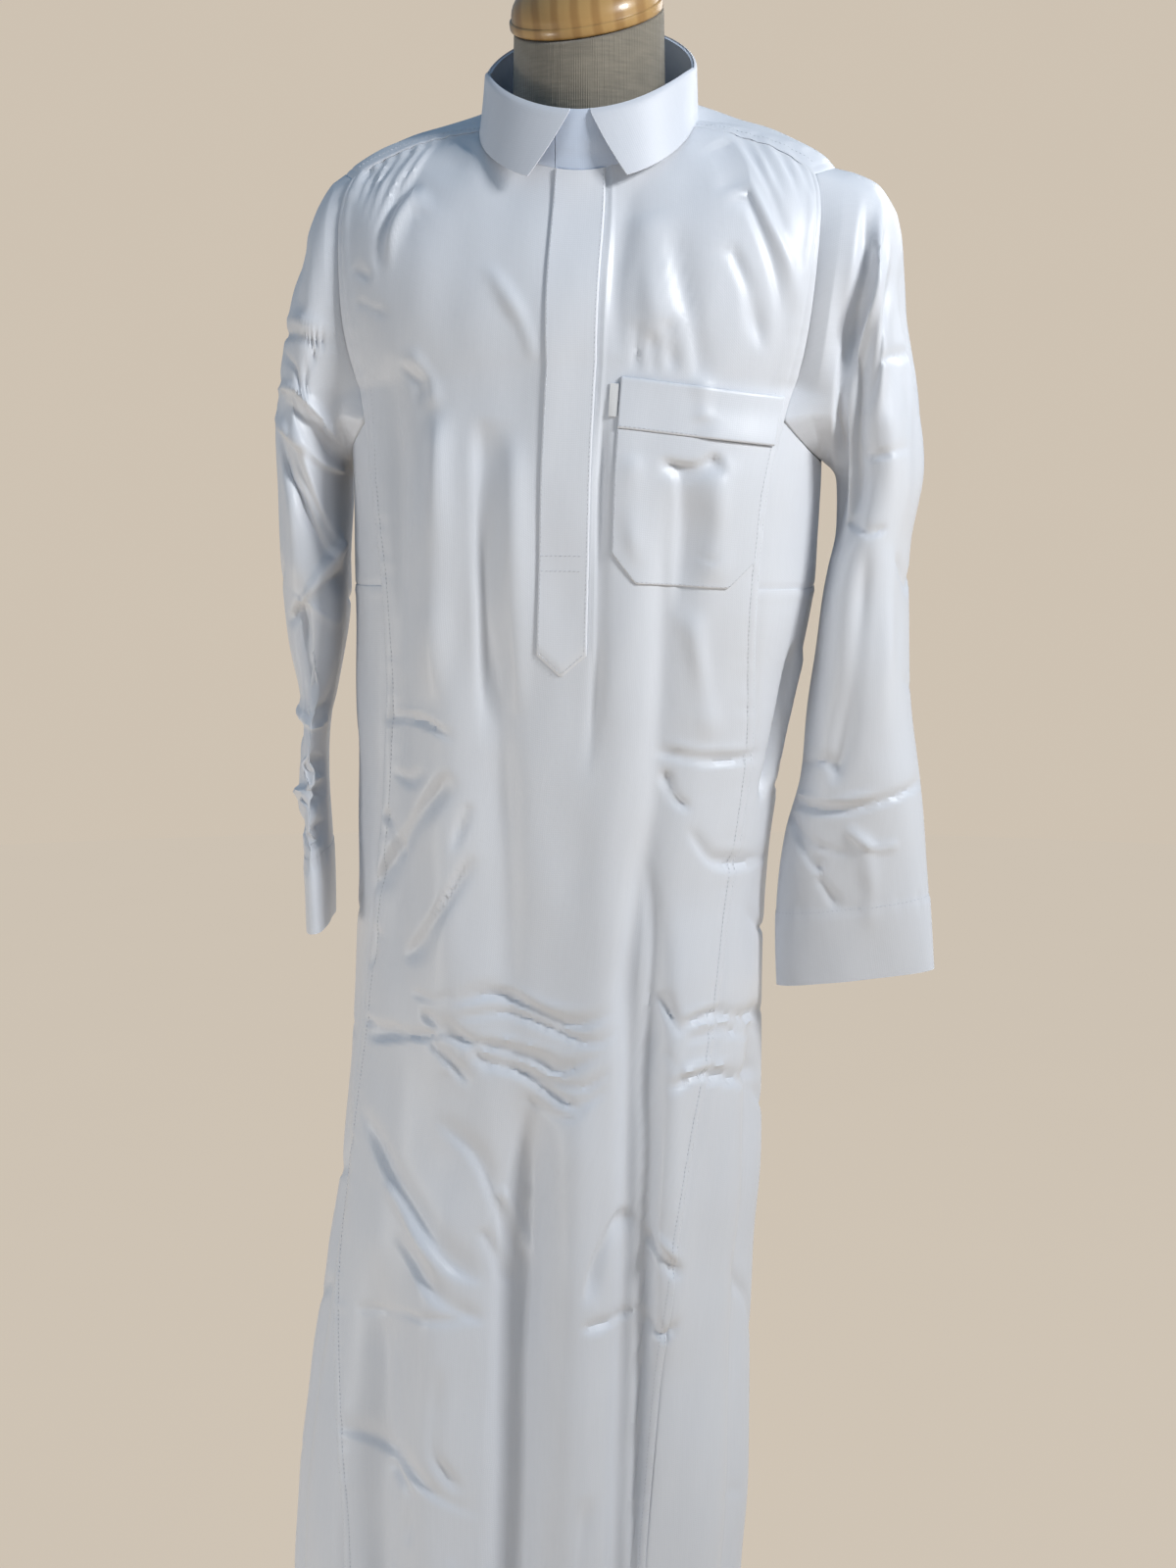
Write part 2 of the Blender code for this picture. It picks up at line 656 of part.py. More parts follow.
def yoke_edge(turn):
    """Outer edge of the yoke as a share of the cap, by the turn from the front in degrees."""
    if turn <= BACK_CORNER_ANGLE:
        return mix(ARMHOLE_SHARE, BACK_CORNER_SHARE, smooth((turn - 96) / (BACK_CORNER_ANGLE - 96)))
    return back_seam_share((180 - turn) / (180 - BACK_CORNER_ANGLE))


def add_yoke(maker):
    turns = [YOKE_ANGLE + 0.25] + list(np.linspace(YOKE_ANGLE + 1.2, BACK_CORNER_ANGLE, 7))
    back = edged_shares(BACK_COLUMNS, BACK_EDGE_SHARE)[:BACK_COLUMNS // 2 + 1]
    turns += [180 - (180 - BACK_CORNER_ANGLE) * (1 - 2 * share) for share in back][1:]
    turns += [360 - turn for turn in reversed(turns[:-1])]
    shares = (0.0, 0.22, 0.44, 0.65, 0.82, 0.94, 1.0)

    def point(column, row):
        turn = turns[column]
        edge = yoke_edge(min(turn, 360 - turn))
        return robe_point(math.radians(turn), edge * shares[row])

    mesh = grid_mesh("yoke", len(turns) - 1, len(shares) - 1, point)
    faces_out(mesh, body_middle)
    maker.add("yoke", mesh, WHITE, wall=CLOTH)


def side_angle(side, share, height):
    """Angle across a side piece, from the front seam to the back seam."""
    front = abs(seam_angle(side, height, "front")) + SEAM_GAP / 2 / 0.17
    back = abs(seam_angle(side, height, "back")) - SEAM_GAP / 2 / 0.17
    return side * mix(front, back, share)


def gusset_top(share):
    return GUSSET_TOP_Z - GUSSET_DIP * (1 - (2 * share - 1) ** 2)


def gusset_height(share, height):
    """Height of a gusset row, which dips in the middle as its top edge does."""
    rise = (height - GUSSET_LOW_Z) / (GUSSET_TOP_Z - GUSSET_LOW_Z)
    return mix(GUSSET_LOW_Z, gusset_top(share), rise)


def add_side_pieces(maker, side, label):
    shares = edged_shares(9, 0.03)
    columns = len(shares) - 1
    under_arm = [height for height in row_heights() if GUSSET_LOW_Z <= height <= GUSSET_TOP_Z]

    def gusset_point(column, row):
        share = shares[column]
        height = gusset_height(share, under_arm[row])
        if row == len(under_arm) - 1:
            height += SEAM_GAP
        return robe_point(side_angle(side, share, height), level_of(height))

    mesh = grid_mesh("gusset_" + label, columns, len(under_arm) - 1, gusset_point)
    faces_out(mesh, body_middle)
    maker.add("gusset_" + label, mesh, WHITE, wall=CLOTH)

    heights = [height for height in row_heights() if height <= GUSSET_LOW_Z]

    def gore_point(column, row):
        height = heights[row]
        return robe_point(side_angle(side, shares[column], height), level_of(height))

    mesh = grid_mesh("side_gore_" + label, columns, len(heights) - 1, gore_point)
    faces_out(mesh, body_middle)
    maker.add("side_gore_" + label, mesh, WHITE, wall=CLOTH)


def armhole_loop(side):
    """Points of the armhole, from the shoulder forward, down, under the arm and up the back."""
    points = []
    front_share = np.linspace(ARMHOLE_SHARE, 1.0, 8)
    back_share = np.linspace(1.0, BACK_CORNER_SHARE, 7)
    for turn in np.linspace(90, YOKE_ANGLE, 4)[:-1]:
        points.append(robe_point(math.radians(turn) * side, yoke_edge(turn)))
    for share in front_share:
        points.append(robe_point(armhole_angle(side, share, "front"), share))
    for height in (1.325, 1.310):
        points.append(robe_point(seam_angle(side, height, "front"), level_of(height)))
    for share in np.linspace(0, 1, 10):
        height = gusset_top(share)
        points.append(robe_point(side_angle(side, share, height), level_of(height)))
    for height in (1.310, 1.325):
        points.append(robe_point(seam_angle(side, height, "back"), level_of(height)))
    for share in back_share:
        points.append(robe_point(armhole_angle(side, share, "back"), share))
    for turn in np.linspace(BACK_CORNER_ANGLE, 90, 6)[1:-1]:
        points.append(robe_point(math.radians(turn) * side, yoke_edge(turn)))
    return np.array(points)


def resampled(loop, count):
    """Even points round a closed loop, starting at its first."""
    closed = np.vstack([loop, loop[:1]])
    lengths = np.concatenate([[0.0], np.cumsum(np.linalg.norm(np.diff(closed, axis=0), axis=1))])
    places = np.linspace(0.0, lengths[-1], count, endpoint=False)
    return np.array([[np.interp(place, lengths, closed[:, axis]) for axis in range(3)] for place in places])


def sleeve_fold(label, angle, share):
    total = 0.0
    for sleeve, top_angle, top, foot_angle, foot, half_width, depth in SLEEVE_FOLDS:
        if sleeve != label or not top - 0.06 < share < foot + 0.06:
            continue
        middle = mix(top_angle, foot_angle, (share - top) / (foot - top))
        fade = smooth((share - top + 0.06) / 0.10) * smooth((foot + 0.06 - share) / 0.10)
        away = (angle - middle + 180) % 360 - 180
        total += depth * fade * math.exp(-(away / half_width) ** 2)
    return total


def sleeve_point(table, side, angle, share):
    """Point of a sleeve's table form; angle 0 is the outer edge and 90 the front."""
    place = share * (len(table) - 1)
    index = min(int(place), len(table) - 2)
    out_x, out_z, in_x, in_z, mid_y, half_depth, skew = smooth_between(table, index, place - index, 0)
    label = "left" if side > 0 else "right"
    grow = 1 + sleeve_fold(label, angle, share) / half_depth
    turn = math.radians(angle)
    cosine = math.copysign(abs(math.cos(turn)) ** 0.9, math.cos(turn)) * grow
    sine = math.copysign(abs(math.sin(turn)) ** 0.9, math.sin(turn)) * grow
    x = (out_x + in_x) / 2 + (out_x - in_x) / 2 * cosine + skew * half_depth * sine
    z = (out_z + in_z) / 2 + (out_z - in_z) / 2 * cosine
    return np.array((x, mid_y - half_depth * sine, z))


def add_sleeve(maker, side, label):
    table = LEFT_SLEEVE if side > 0 else RIGHT_SLEEVE
    loop = resampled(armhole_loop(side), SLEEVE_SEGMENTS)
    middle = loop.mean(axis=0)
    count = SLEEVE_SEGMENTS

    def point(column, row):
        column %= count
        seam = loop[column].copy()
        away = seam - middle
        out = seam + np.array((side * ARMHOLE_GAP, 0.0, 0.0))
        if seam[2] < GUSSET_TOP_Z - 0.014:
            out = seam + np.array((side * SLEEVE_UNDER_GAP, 0.0, SLEEVE_UNDER_GAP))
        if row == 0:
            return out
        share = (row - 1) / (SLEEVE_ROWS - 1)
        angle = math.degrees(math.atan2(-away[1] / 0.080, away[2] / 0.118)) % 360
        free = column * 360.0 / count
        turn = angle + ((free - angle + 180) % 360 - 180) * smooth(share / 0.35)
        target = sleeve_point(table, side, turn, share)
        if row < 3:
            return mix(out, target, (0.55, 0.85)[row - 1])
        return target

    mesh = grid_mesh("sleeve_" + label, count, SLEEVE_ROWS, point, closed=True)
    faces_out(mesh, lambda centre: sleeve_middle(centre, table))
    maker.add("sleeve_" + label, mesh, WHITE, wall=CLOTH)


def sleeve_middle(centre, table):
    """Middle of the sleeve at a face's height."""
    middle = centre.copy()
    row = min(table, key=lambda line: abs((line[1] + line[3]) / 2 - centre.z))
    middle.x = (row[0] + row[2]) / 2
    middle.y = row[4]
    middle.z = (row[1] + row[3]) / 2
    return middle


def stand_height(angle):
    return STAND_HEIGHT + STAND_MIDDLE_EXTRA * math.cos(angle) ** 2


def add_collar(maker):
    begin, columns = STAND_END_ANGLE + STAND_SLIT / 2, 32

    def stand_point(column, row):
        angle = math.radians(begin + (360 - STAND_SLIT) * column / columns)
        lift = NECK_GAP + stand_height(angle) * row / 2
        return neck_point(angle, lift, -0.0002 * row)

    mesh = grid_mesh("collar_stand", columns, 2, stand_point)
    faces_out(mesh, body_middle)
    maker.add("collar_stand", mesh, WHITE, wall=CLOTH)

    columns, rows = 36, 3

    def leaf_point(column, row):
        share = column / columns
        turn = mix(LEAF_OPENING, 360 - LEAF_OPENING, share)
        drop_share = row / rows
        nearness = max(0.0, 1 - min(turn, 360 - turn) / 60.0)
        swing = LEAF_POINT_SWING * nearness * drop_share
        turn += swing if turn < 180 else -swing
        angle = math.radians(turn)
        end_drop = LEAF_FRONT_DROP if math.cos(angle) > 0 else LEAF_BACK_DROP
        drop = mix(LEAF_SIDE_DROP, end_drop, abs(math.cos(angle)) ** 6)
        spread = mix(LEAF_SPREAD, LEAF_FRONT_SPREAD, smooth(math.cos(angle) * 1.1))
        widen = LEAF_GAP + spread * drop_share
        lift = stand_height(angle) + 0.0008 - drop * drop_share
        point = neck_point(angle, lift, widen)
        point[2] = max(point[2], shoulder_height(angle, point) + LEAF_REST)
        return point

    mesh = grid_mesh("collar_leaf", columns, rows, leaf_point)
    faces_out(mesh, body_middle)
    maker.add("collar_leaf", mesh, WHITE, wall=CLOTH)


def shoulder_height(angle, point):
    """Height of the shoulder or chest right below a point of the collar leaf."""
    out = np.array((math.sin(angle), -math.cos(angle), 0.0))
    spots = [cap_point(angle, share) for share in np.linspace(0.0, 0.5, 26)]
    return np.interp(point @ out, [spot @ out for spot in spots], [spot[2] for spot in spots])


def loft(name, rings):
    """Closed smooth body through rings of equal count."""
    work = bmesh.new()
    loops = [[work.verts.new(point) for point in ring] for ring in rings]
    count = len(rings[0])
    for upper, lower in zip(loops, loops[1:]):
        for index in range(count):
            after = (index + 1) % count
            work.faces.new((upper[index], lower[index], lower[after], upper[after]))
    work.faces.new(loops[0])
    work.faces.new(list(reversed(loops[-1])))
    bmesh.ops.recalc_face_normals(work, faces=work.faces)
    mesh = bpy.data.meshes.new(name)
    work.to_mesh(mesh)
    work.free()
    return mesh


def form_angles():
    return [2 * math.pi * index / SEGMENTS for index in range(SEGMENTS)]


def form_neck_height(y):
    """Height of the slanted plane where the linen neck stands on the torso."""
    return NECK_Z - FORM_NECK_DROP + FORM_NECK_TILT * y


def add_form(maker):
    """Linen torso that carries the robe at the shoulders and stays clear of it elsewhere."""
    angles = form_angles()
    rings = [[neck_point(angle, 0.0, -FORM_NECK_IN) for angle in angles]]
    for point in rings[0]:
        point[2] = form_neck_height(point[1])
    for share in (0.12, 0.20, 0.32, 0.44, 0.56, 0.70, 0.85, 1.0):
        ring = []
        for angle in angles:
            side = abs(math.sin(angle)) ** 4
            rest = smooth((0.42 - share) / 0.16) * side
            gap = CLOTH + mix(FORM_BODY_GAP, FORM_SHOULDER_GAP, rest)
            ring.append(moved_out(angle, share, -gap))
        rings.append(ring)
    for height, half_width, half_depth in FORM_RINGS:
        ring = []
        for angle in angles:
            radius = ring_radius(angle, half_width, half_depth, 2.3)
            ring.append((radius * math.sin(angle), -radius * math.cos(angle), height))
        rings.append(ring)
    maker.add("form_torso", loft("form_torso", rings), LINEN, roughness=0.9)


def turned(name, profile, steps=SEGMENTS):
    """Profile of radius and height, top to bottom, turned about the upright axis."""
    mesh = bpy.data.meshes.new(name)
    work = bmesh.new()
    verts = [work.verts.new((radius, 0.0, height)) for radius, height in profile]
    for upper, lower in zip(verts, verts[1:]):
        work.edges.new((upper, lower))
    bmesh.ops.spin(work, geom=list(work.verts) + list(work.edges), axis=(0, 0, 1), cent=(0, 0, 0),
                   steps=steps, angle=2 * math.pi, use_merge=True)
    bmesh.ops.remove_doubles(work, verts=work.verts, dist=0.00005)
    bmesh.ops.recalc_face_normals(work, faces=work.faces)
    work.to_mesh(mesh)
    work.free()
    return mesh


def neck_top(x, y):
    """Height of the neck block's slanted top face."""
    forward = math.tan(math.radians(NECK_BLOCK_TILT)) * y
    return NECK_BLOCK_TOP_Z + forward + math.tan(math.radians(NECK_BLOCK_ROLL)) * x


def add_neck(maker):
    rings = []
    for share in (0.0, 0.04, 0.5, 1.0):
        radius = NECK_BLOCK_RADIUS - 0.0015 * (share == 0.0) + 0.003 * share
        ring = []
        for angle in form_angles():
            x, y = radius * math.sin(angle), -radius * math.cos(angle)
            low = form_neck_height(y) + LAYER_GAP
            ring.append((x + NECK_BLOCK_X * (1 - share), y, mix(neck_top(x, y), low, share)))
        rings.append(ring)
    maker.add("form_neck", loft("form_neck", rings), LINEN, roughness=0.9)
    rise = [(0.0, CAP_RIM_HEIGHT + CAP_HEIGHT)]
    for turn in (72, 50, 32, 16, 0):
        angle = math.radians(turn)
        rise.append((CAP_RIM_RADIUS * 0.97 * math.cos(angle), CAP_RIM_HEIGHT + CAP_HEIGHT * math.sin(angle)))
    rise += [(CAP_RIM_RADIUS, CAP_RIM_HEIGHT - 0.001), (CAP_RIM_RADIUS, 0.0012),
             (CAP_RIM_RADIUS - 0.0012, 0.0), (0.0, 0.0)]
    mesh = turned("neck_cap", rise)
    for vertex in mesh.vertices:
        vertex.co.z += neck_top(vertex.co.x, vertex.co.y) + LAYER_GAP
        vertex.co.x += NECK_BLOCK_X
    maker.add("neck_cap", mesh, WOOD, roughness=0.3)


def add_stand(maker):
    top = FORM_RINGS[-1][0] - LAYER_GAP
    pole = [(0.0, top), (POLE_RADIUS, top), (POLE_RADIUS, POLE_LOW_Z), (0.0, POLE_LOW_Z)]
    maker.add("pole", turned("pole", pole), STEEL, roughness=0.35, metallic=0.8)
    base = [(0.0, BASE_HEIGHT), (0.030, BASE_HEIGHT), (0.120, 0.019), (BASE_RADIUS - 0.006, 0.012),
            (BASE_RADIUS, 0.008), (BASE_RADIUS, 0.002), (BASE_RADIUS - 0.002, 0.0), (0.0, 0.0)]
    maker.add("base", turned("base", base, steps=32), STEEL, roughness=0.4, metallic=0.8)


def clear_scene():
    for thing in list(bpy.data.objects):
        bpy.data.objects.remove(thing, do_unlink=True)


def main():
    clear_scene()
    maker = Maker("thobe_robe_on_dress_form")
    add_front(maker)
    add_placket(maker)
    add_pocket(maker)
    add_tab(maker)
    add_back(maker)
    add_yoke(maker)
    for side, label in ((1, "left"), (-1, "right")):
        add_side_pieces(maker, side, label)
        add_sleeve(maker, side, label)
    add_collar(maker)
    add_form(maker)
    add_neck(maker)
    add_stand(maker)


main()
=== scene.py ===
"""Looks of the thobe robe on its dress form: cloth, seams, stitching, linen, wood, stand and studio."""
from __future__ import annotations

import logging
import math
from dataclasses import dataclass, field
from enum import Enum
from typing import Callable

import bpy
import numpy as np
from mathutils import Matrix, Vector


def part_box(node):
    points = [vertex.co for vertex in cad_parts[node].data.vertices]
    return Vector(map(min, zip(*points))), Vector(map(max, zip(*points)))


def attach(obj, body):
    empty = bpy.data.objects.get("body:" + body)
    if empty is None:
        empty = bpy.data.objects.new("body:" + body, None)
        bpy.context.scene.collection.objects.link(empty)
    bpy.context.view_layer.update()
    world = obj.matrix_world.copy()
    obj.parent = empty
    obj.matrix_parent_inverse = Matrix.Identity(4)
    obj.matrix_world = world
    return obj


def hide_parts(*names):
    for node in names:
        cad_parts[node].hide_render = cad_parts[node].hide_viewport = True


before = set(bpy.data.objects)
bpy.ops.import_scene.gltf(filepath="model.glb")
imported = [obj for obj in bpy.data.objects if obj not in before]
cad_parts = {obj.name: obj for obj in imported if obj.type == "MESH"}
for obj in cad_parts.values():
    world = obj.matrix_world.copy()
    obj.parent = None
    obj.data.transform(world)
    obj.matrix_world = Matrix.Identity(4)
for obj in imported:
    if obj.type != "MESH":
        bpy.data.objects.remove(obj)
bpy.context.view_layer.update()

MM = 0.001
TURN = 2 * math.pi
SIDES = ((1, "left"), (-1, "right"))
CLOTH_SMOOTH_ANGLE = math.radians(55)
HARD_SMOOTH_ANGLE = math.radians(35)
LOG = logging.getLogger("thobe")

Array = np.ndarray
Material = bpy.types.Material
Thing = bpy.types.Object


class Face(Enum):
    """Side of the robe that a crease lies on."""

    FRONT = "front"
    BACK = "back"
    LEFT = "left"
    RIGHT = "right"


class Shape(Enum):
    """Cross-section of a crease."""

    SOFT = "rounded trough or ridge"
    SHARP = "pressed line"
    EDGE = "steep on one side and easy on the other"
    GATHER = "tuck that starts at a seam and fades out"


F, B, L, R = Face.FRONT, Face.BACK, Face.LEFT, Face.RIGHT
SOFT, SHARP, EDGE, GATHER = Shape.SOFT, Shape.SHARP, Shape.EDGE, Shape.GATHER

# Creases of the body, in millimetres: face, shape, width, depth, then pairs of places across and up
BODY_CREASES = (
    # gathers under the yoke on the wearer's right, fanning out and down
    (F, GATHER, 3.2, -2.2, -176, 1500, -180, 1484, -182, 1464),
    (F, GATHER, 3.2, -2.6, -166, 1506, -173, 1484, -177, 1458),
    (F, GATHER, 3.4, -2.8, -154, 1511, -165, 1486, -171, 1450),
    (F, GATHER, 3.6, -3.2, -142, 1516, -156, 1488, -166, 1440),
    (F, GATHER, 3.8, -3.4, -129, 1522, -146, 1486, -158, 1446, -162, 1412),
    (F, GATHER, 4.6, -4.4, -116, 1527, -133, 1494, -149, 1466, -158, 1432, -158, 1392),
    (F, SOFT, 5, 2.8, -112, 1502, -132, 1476, -146, 1446, -149, 1412),
    (F, GATHER, 3.8, -3.4, -104, 1530, -120, 1496, -131, 1460, -138, 1424),
    (F, GATHER, 3.4, -2.8, -95, 1532, -107, 1498, -116, 1464, -120, 1436),
    (F, GATHER, 3.2, -2.4, -87, 1534, -96, 1502, -102, 1468),
    # gathers on the wearer's left, softer and longer
    (F, GATHER, 3.6, -1, 92, 1520, 100, 1498, 106, 1470, 110, 1440),
    (F, GATHER, 6.6, -4.8, 108, 1516, 122, 1490, 141, 1456, 156, 1418, 162, 1380, 161, 1336),
    (F, SOFT, 6.5, 3.2, 106, 1522, 130, 1488, 150, 1452, 168, 1412, 174, 1376),
    (F, GATHER, 3.6, -3, 120, 1527, 137, 1500, 153, 1470, 166, 1438),
    (F, GATHER, 3.4, -2.8, 134, 1523, 150, 1496, 166, 1464),
    (F, GATHER, 3.4, -2.8, 148, 1519, 165, 1492, 177, 1460),
    (F, GATHER, 3.2, -2.4, 162, 1515, 177, 1490, 186, 1464),
    (F, GATHER, 3.2, -2.2, 176, 1510, 188, 1490, 194, 1470),
    (F, EDGE, 8, -3.6, 76, 1452, 85, 1402, 96, 1362, 101, 1322),
    (F, SOFT, 6, -2.4, 120, 1436, 136, 1404, 144, 1374, 150, 1346),
    (F, SOFT, 4.4, -2, 53, 1372, 52, 1330),
    (F, SOFT, 4.4, -1.8, 64, 1364, 66, 1330),
    (F, SOFT, 4.6, -2.2, 76, 1374, 82, 1330),
    (F, SOFT, 9, -2.6, 44, 1484, 36, 1410, 38, 1345),
    (F, SOFT, 7, -3, 28, 1326, 25, 1240, 24, 1160, 22, 1085, 14, 1010),
    (F, SOFT, 14, 2.4, 58, 1460, 62, 1400, 74, 1350),
    # chest and waist
    (F, SOFT, 6.5, 2.2, -70, 1420, -50, 1392, -36, 1368, -28, 1340),
    (F, SHARP, 3.5, -1.8, -178, 1391, -164, 1384, -148, 1379),
    (F, SOFT, 6, -1.6, -180, 1418, -164, 1406),
    (F, SHARP, 4, -2, -141, 1342, -128, 1330, -119, 1321, -125, 1308),
    (F, SOFT, 7, 1.6, -132, 1350, -112, 1326, -110, 1300),
    (F, SOFT, 11, -3.8, -150, 1350, -142, 1280, -140, 1180, -138, 1090),
    (F, SOFT, 14, 4.6, -104, 1310, -108, 1200, -112, 1070),
    (F, EDGE, 11, -5, -70, 1300, -70, 1180, -66, 1030),
    (F, SOFT, 12, 3.4, -44, 1290, -42, 1180, -40, 1060),
    (F, SOFT, 22, -5, -40, 700, -50, 560, -56, 420, -62, 280, -66, 110),
    (F, EDGE, 4.2, -2.8, -160, 1052, -134, 1056, -113, 1052, -92, 1040),
    (F, SHARP, 3.6, 1.6, -150, 1062, -120, 1061, -98, 1050),
    (F, EDGE, 7, -4.6, -96, 1018, -124, 982, -150, 944, -174, 904),
    (F, SOFT, 4.4, -2.6, -80, 992, -96, 950),
    (F, EDGE, 6, -4.2, -78, 952, -100, 914, -122, 880, -142, 855),
    (F, SHARP, 4, -2.8, -165, 880, -176, 840),
    (F, SOFT, 5, -2.4, -150, 1012, -134, 1006, -118, 1016),
    (F, SOFT, 4.4, -2.2, -160, 980, -148, 960, -142, 936),
    (F, EDGE, 4, -2.8, 64, 1034, 100, 1026, 128, 1024, 158, 1029),
    (F, SHARP, 3.6, 1.5, 74, 1042, 104, 1035, 140, 1034),
    (F, SOFT, 4.5, -2.8, 73, 1020, 82, 998, 96, 986),
    (F, EDGE, 5, -3.4, 92, 974, 110, 944, 134, 936, 156, 938),
    (F, SOFT, 10, 2.4, 96, 1150, 104, 1090, 110, 1040),
    # long fold towards the hem
    (F, EDGE, 7, -6, 60, 950, 64, 882, 58, 770, 60, 704, 56, 582, 51, 447, 47, 300,
     45, 110),
    (F, SOFT, 12, 3.4, 84, 930, 84, 800, 80, 680, 76, 520, 72, 330),
    # wrinkles at the knee
    (F, EDGE, 5, -3.6, -102, 824, -64, 834, -30, 824, 4, 811, 40, 824),
    (F, EDGE, 5, -3.8, -101, 797, -60, 790, -28, 781, -6, 773, 42, 795),
    (F, EDGE, 5, -3.6, -55, 780, -20, 756, 8, 745, 34, 763),
    (F, EDGE, 4.4, -3.6, -178, 784, -140, 793, -102, 797),
    (F, EDGE, 4.4, -3, -182, 800, -160, 792, -140, 796),
    (F, SOFT, 5, -2, -108, 816, -80, 790, -62, 768),
    (F, SHARP, 4.5, 1.8, -106, 766, -66, 804),
    (F, EDGE, 4.2, -2.8, -100, 811, -48, 818, 16, 797, 42, 808),
    (F, EDGE, 4.4, -2.8, -88, 784, -40, 770, 8, 760, 36, 775),
    (F, SHARP, 3.6, 2, -92, 830, -52, 841, -14, 826, 26, 826),
    (F, SHARP, 3.6, 2, -80, 802, -34, 795, 14, 784),
    (F, EDGE, 4.2, -2.6, -126, 817, -106, 801, -84, 793),
    (F, EDGE, 4.2, -2.6, -120, 792, -101, 777, -80, 756),
    (F, SHARP, 3.6, -2, -136, 832, -112, 828, -96, 836),
    (F, SHARP, 3.6, -2, -40, 750, -8, 736, 20, 744),
    (F, EDGE, 4.2, -2.6, 92, 796, 122, 799, 152, 781),
    (F, SHARP, 3.6, 1.8, 86, 818, 112, 822, 140, 812),
    (F, SHARP, 3.6, -2, 74, 792, 86, 776, 92, 758),
    (F, EDGE, 5, -4, 70, 838, 80, 818, 88, 800),
    (F, EDGE, 4.5, -4.2, 88, 808, 114, 814, 134, 806, 152, 792),
    (F, EDGE, 4.5, -4, 80, 756, 100, 765, 120, 760, 156, 741),
    (F, SOFT, 4.4, 2.6, 82, 768, 104, 775, 126, 770),
    # lower panel
    (F, EDGE, 9, -4.6, -184, 726, -158, 680, -126, 640, -95, 606, -66, 592),
    (F, SOFT, 7, 3.2, -156, 671, -132, 634, -108, 604),
    (F, EDGE, 7, -3.6, -150, 628, -119, 589, -94, 570, -68, 558),
    (F, SHARP, 4.5, -2.4, -190, 553, -130, 561, -68, 562),
    (F, EDGE, 7, -3.2, -114, 728, -79, 700, -62, 660, -47, 610),
    (F, SOFT, 6, -2.4, -74, 642, -46, 583),
    (F, EDGE, 5.4, -4.2, 44, 658, 24, 622, 14, 578),
    (F, EDGE, 4.2, -3.4, 10, 560, 30, 560, 52, 569),
    (F, EDGE, 4.8, -3.8, 57, 638, 74, 616, 89, 596),
    (F, EDGE, 4.4, -3.6, 56, 566, 75, 548, 90, 562),
    (F, SOFT, 4.6, 2.4, 66, 640, 82, 620, 94, 604),
    (F, SOFT, 4.4, 2.2, -60, 676, -44, 640, -34, 600),
    (F, EDGE, 7, -3.2, -210, 447, -175, 446, -142, 430, -112, 411, -70, 390),
    (F, SOFT, 6, -2.4, -157, 431, -136, 404, -140, 358),
    (F, SOFT, 7, -2.8, -107, 525, -113, 455, -102, 430, -87, 410),
    (F, SHARP, 4, -1.6, 120, 390, 140, 374),
    (F, SOFT, 8, -2.6, -150, 330, -140, 250, -146, 170),
    (F, SOFT, 7, 2.2, -100, 360, -92, 270, -96, 190),
    (F, SHARP, 4.5, -2, -30, 300, -6, 290, 22, 298),
    (F, SOFT, 7, -2.4, 16, 420, 10, 330, 14, 240),
    # back, as the front shows them
    (B, SOFT, 6, -2.6, -60, 1480, -66, 1430, -76, 1370),
    (B, SOFT, 6, -2.6, 44, 1478, 50, 1430, 48, 1360),
    (B, SOFT, 5, -2.2, -20, 1486, -24, 1440, -22, 1400),
    (B, SOFT, 9, 2.6, -40, 1470, -46, 1400, -50, 1320),
    (B, SOFT, 9, 2.4, 18, 1480, 24, 1400, 26, 1310),
    (B, EDGE, 8, -3.4, -150, 1380, -124, 1330, -86, 1290, -50, 1270),
    (B, EDGE, 8, -3.4, 148, 1376, 118, 1322, 84, 1290, 40, 1276),
    (B, SOFT, 6, -2, -140, 1300, -110, 1262, -74, 1240),
    (B, SHARP, 4, -1.8, 60, 1216, 96, 1226, 136, 1250),
    (B, SOFT, 14, -3.6, -60, 1240, -66, 1120, -74, 1000),
    (B, SOFT, 14, 3.2, -20, 1250, -24, 1120, -36, 980),
    (B, SOFT, 13, -3.4, 42, 1230, 38, 1110, 30, 980),
    (B, SHARP, 4, -2, -140, 1010, -100, 1022, -58, 1012),
    (B, EDGE, 6, -2.6, -130, 960, -90, 932, -54, 938),
    (B, SHARP, 4, -2, 30, 1000, 74, 990, 112, 1004),
    (B, EDGE, 6, -2.8, -20, 930, 24, 908, 72, 930, 104, 962),
    (B, SHARP, 4.5, -2.2, -150, 830, -104, 818, -52, 832),
    (B, EDGE, 6, -2.8, -120, 790, -70, 772, -10, 792, 40, 776),
    (B, SOFT, 5, -2.2, 20, 840, 60, 818, 92, 828),
    (B, EDGE, 8, -3.6, -200, 700, -160, 650, -112, 616, -74, 600),
    (B, SHARP, 4.5, -2.2, -180, 560, -120, 548, -60, 560),
    (B, SOFT, 7, -3, 10, 700, 32, 640, 28, 570),
    (B, EDGE, 7, -3, -40, 520, -10, 470, 20, 440, 60, 430),
    (B, SOFT, 7, -2.6, -170, 430, -150, 350, -156, 240),
    (B, SOFT, 8, 2.6, -120, 470, -116, 340, -120, 200),
    (B, SHARP, 4.5, -2, -70, 340, -30, 326, 10, 338),
    # sides
    (L, EDGE, 7, -3, -40, 1020, -6, 990, 40, 1000, 80, 1030),
    (L, SOFT, 6, -2.4, -60, 900, -10, 872, 46, 884),
    (L, SHARP, 4.5, -2.2, -70, 800, -20, 806, 40, 790),
    (L, EDGE, 6, -2.6, -20, 740, 20, 700, 66, 690),
    (L, SOFT, 6, -2.2, -60, 600, -20, 560, 10, 500),
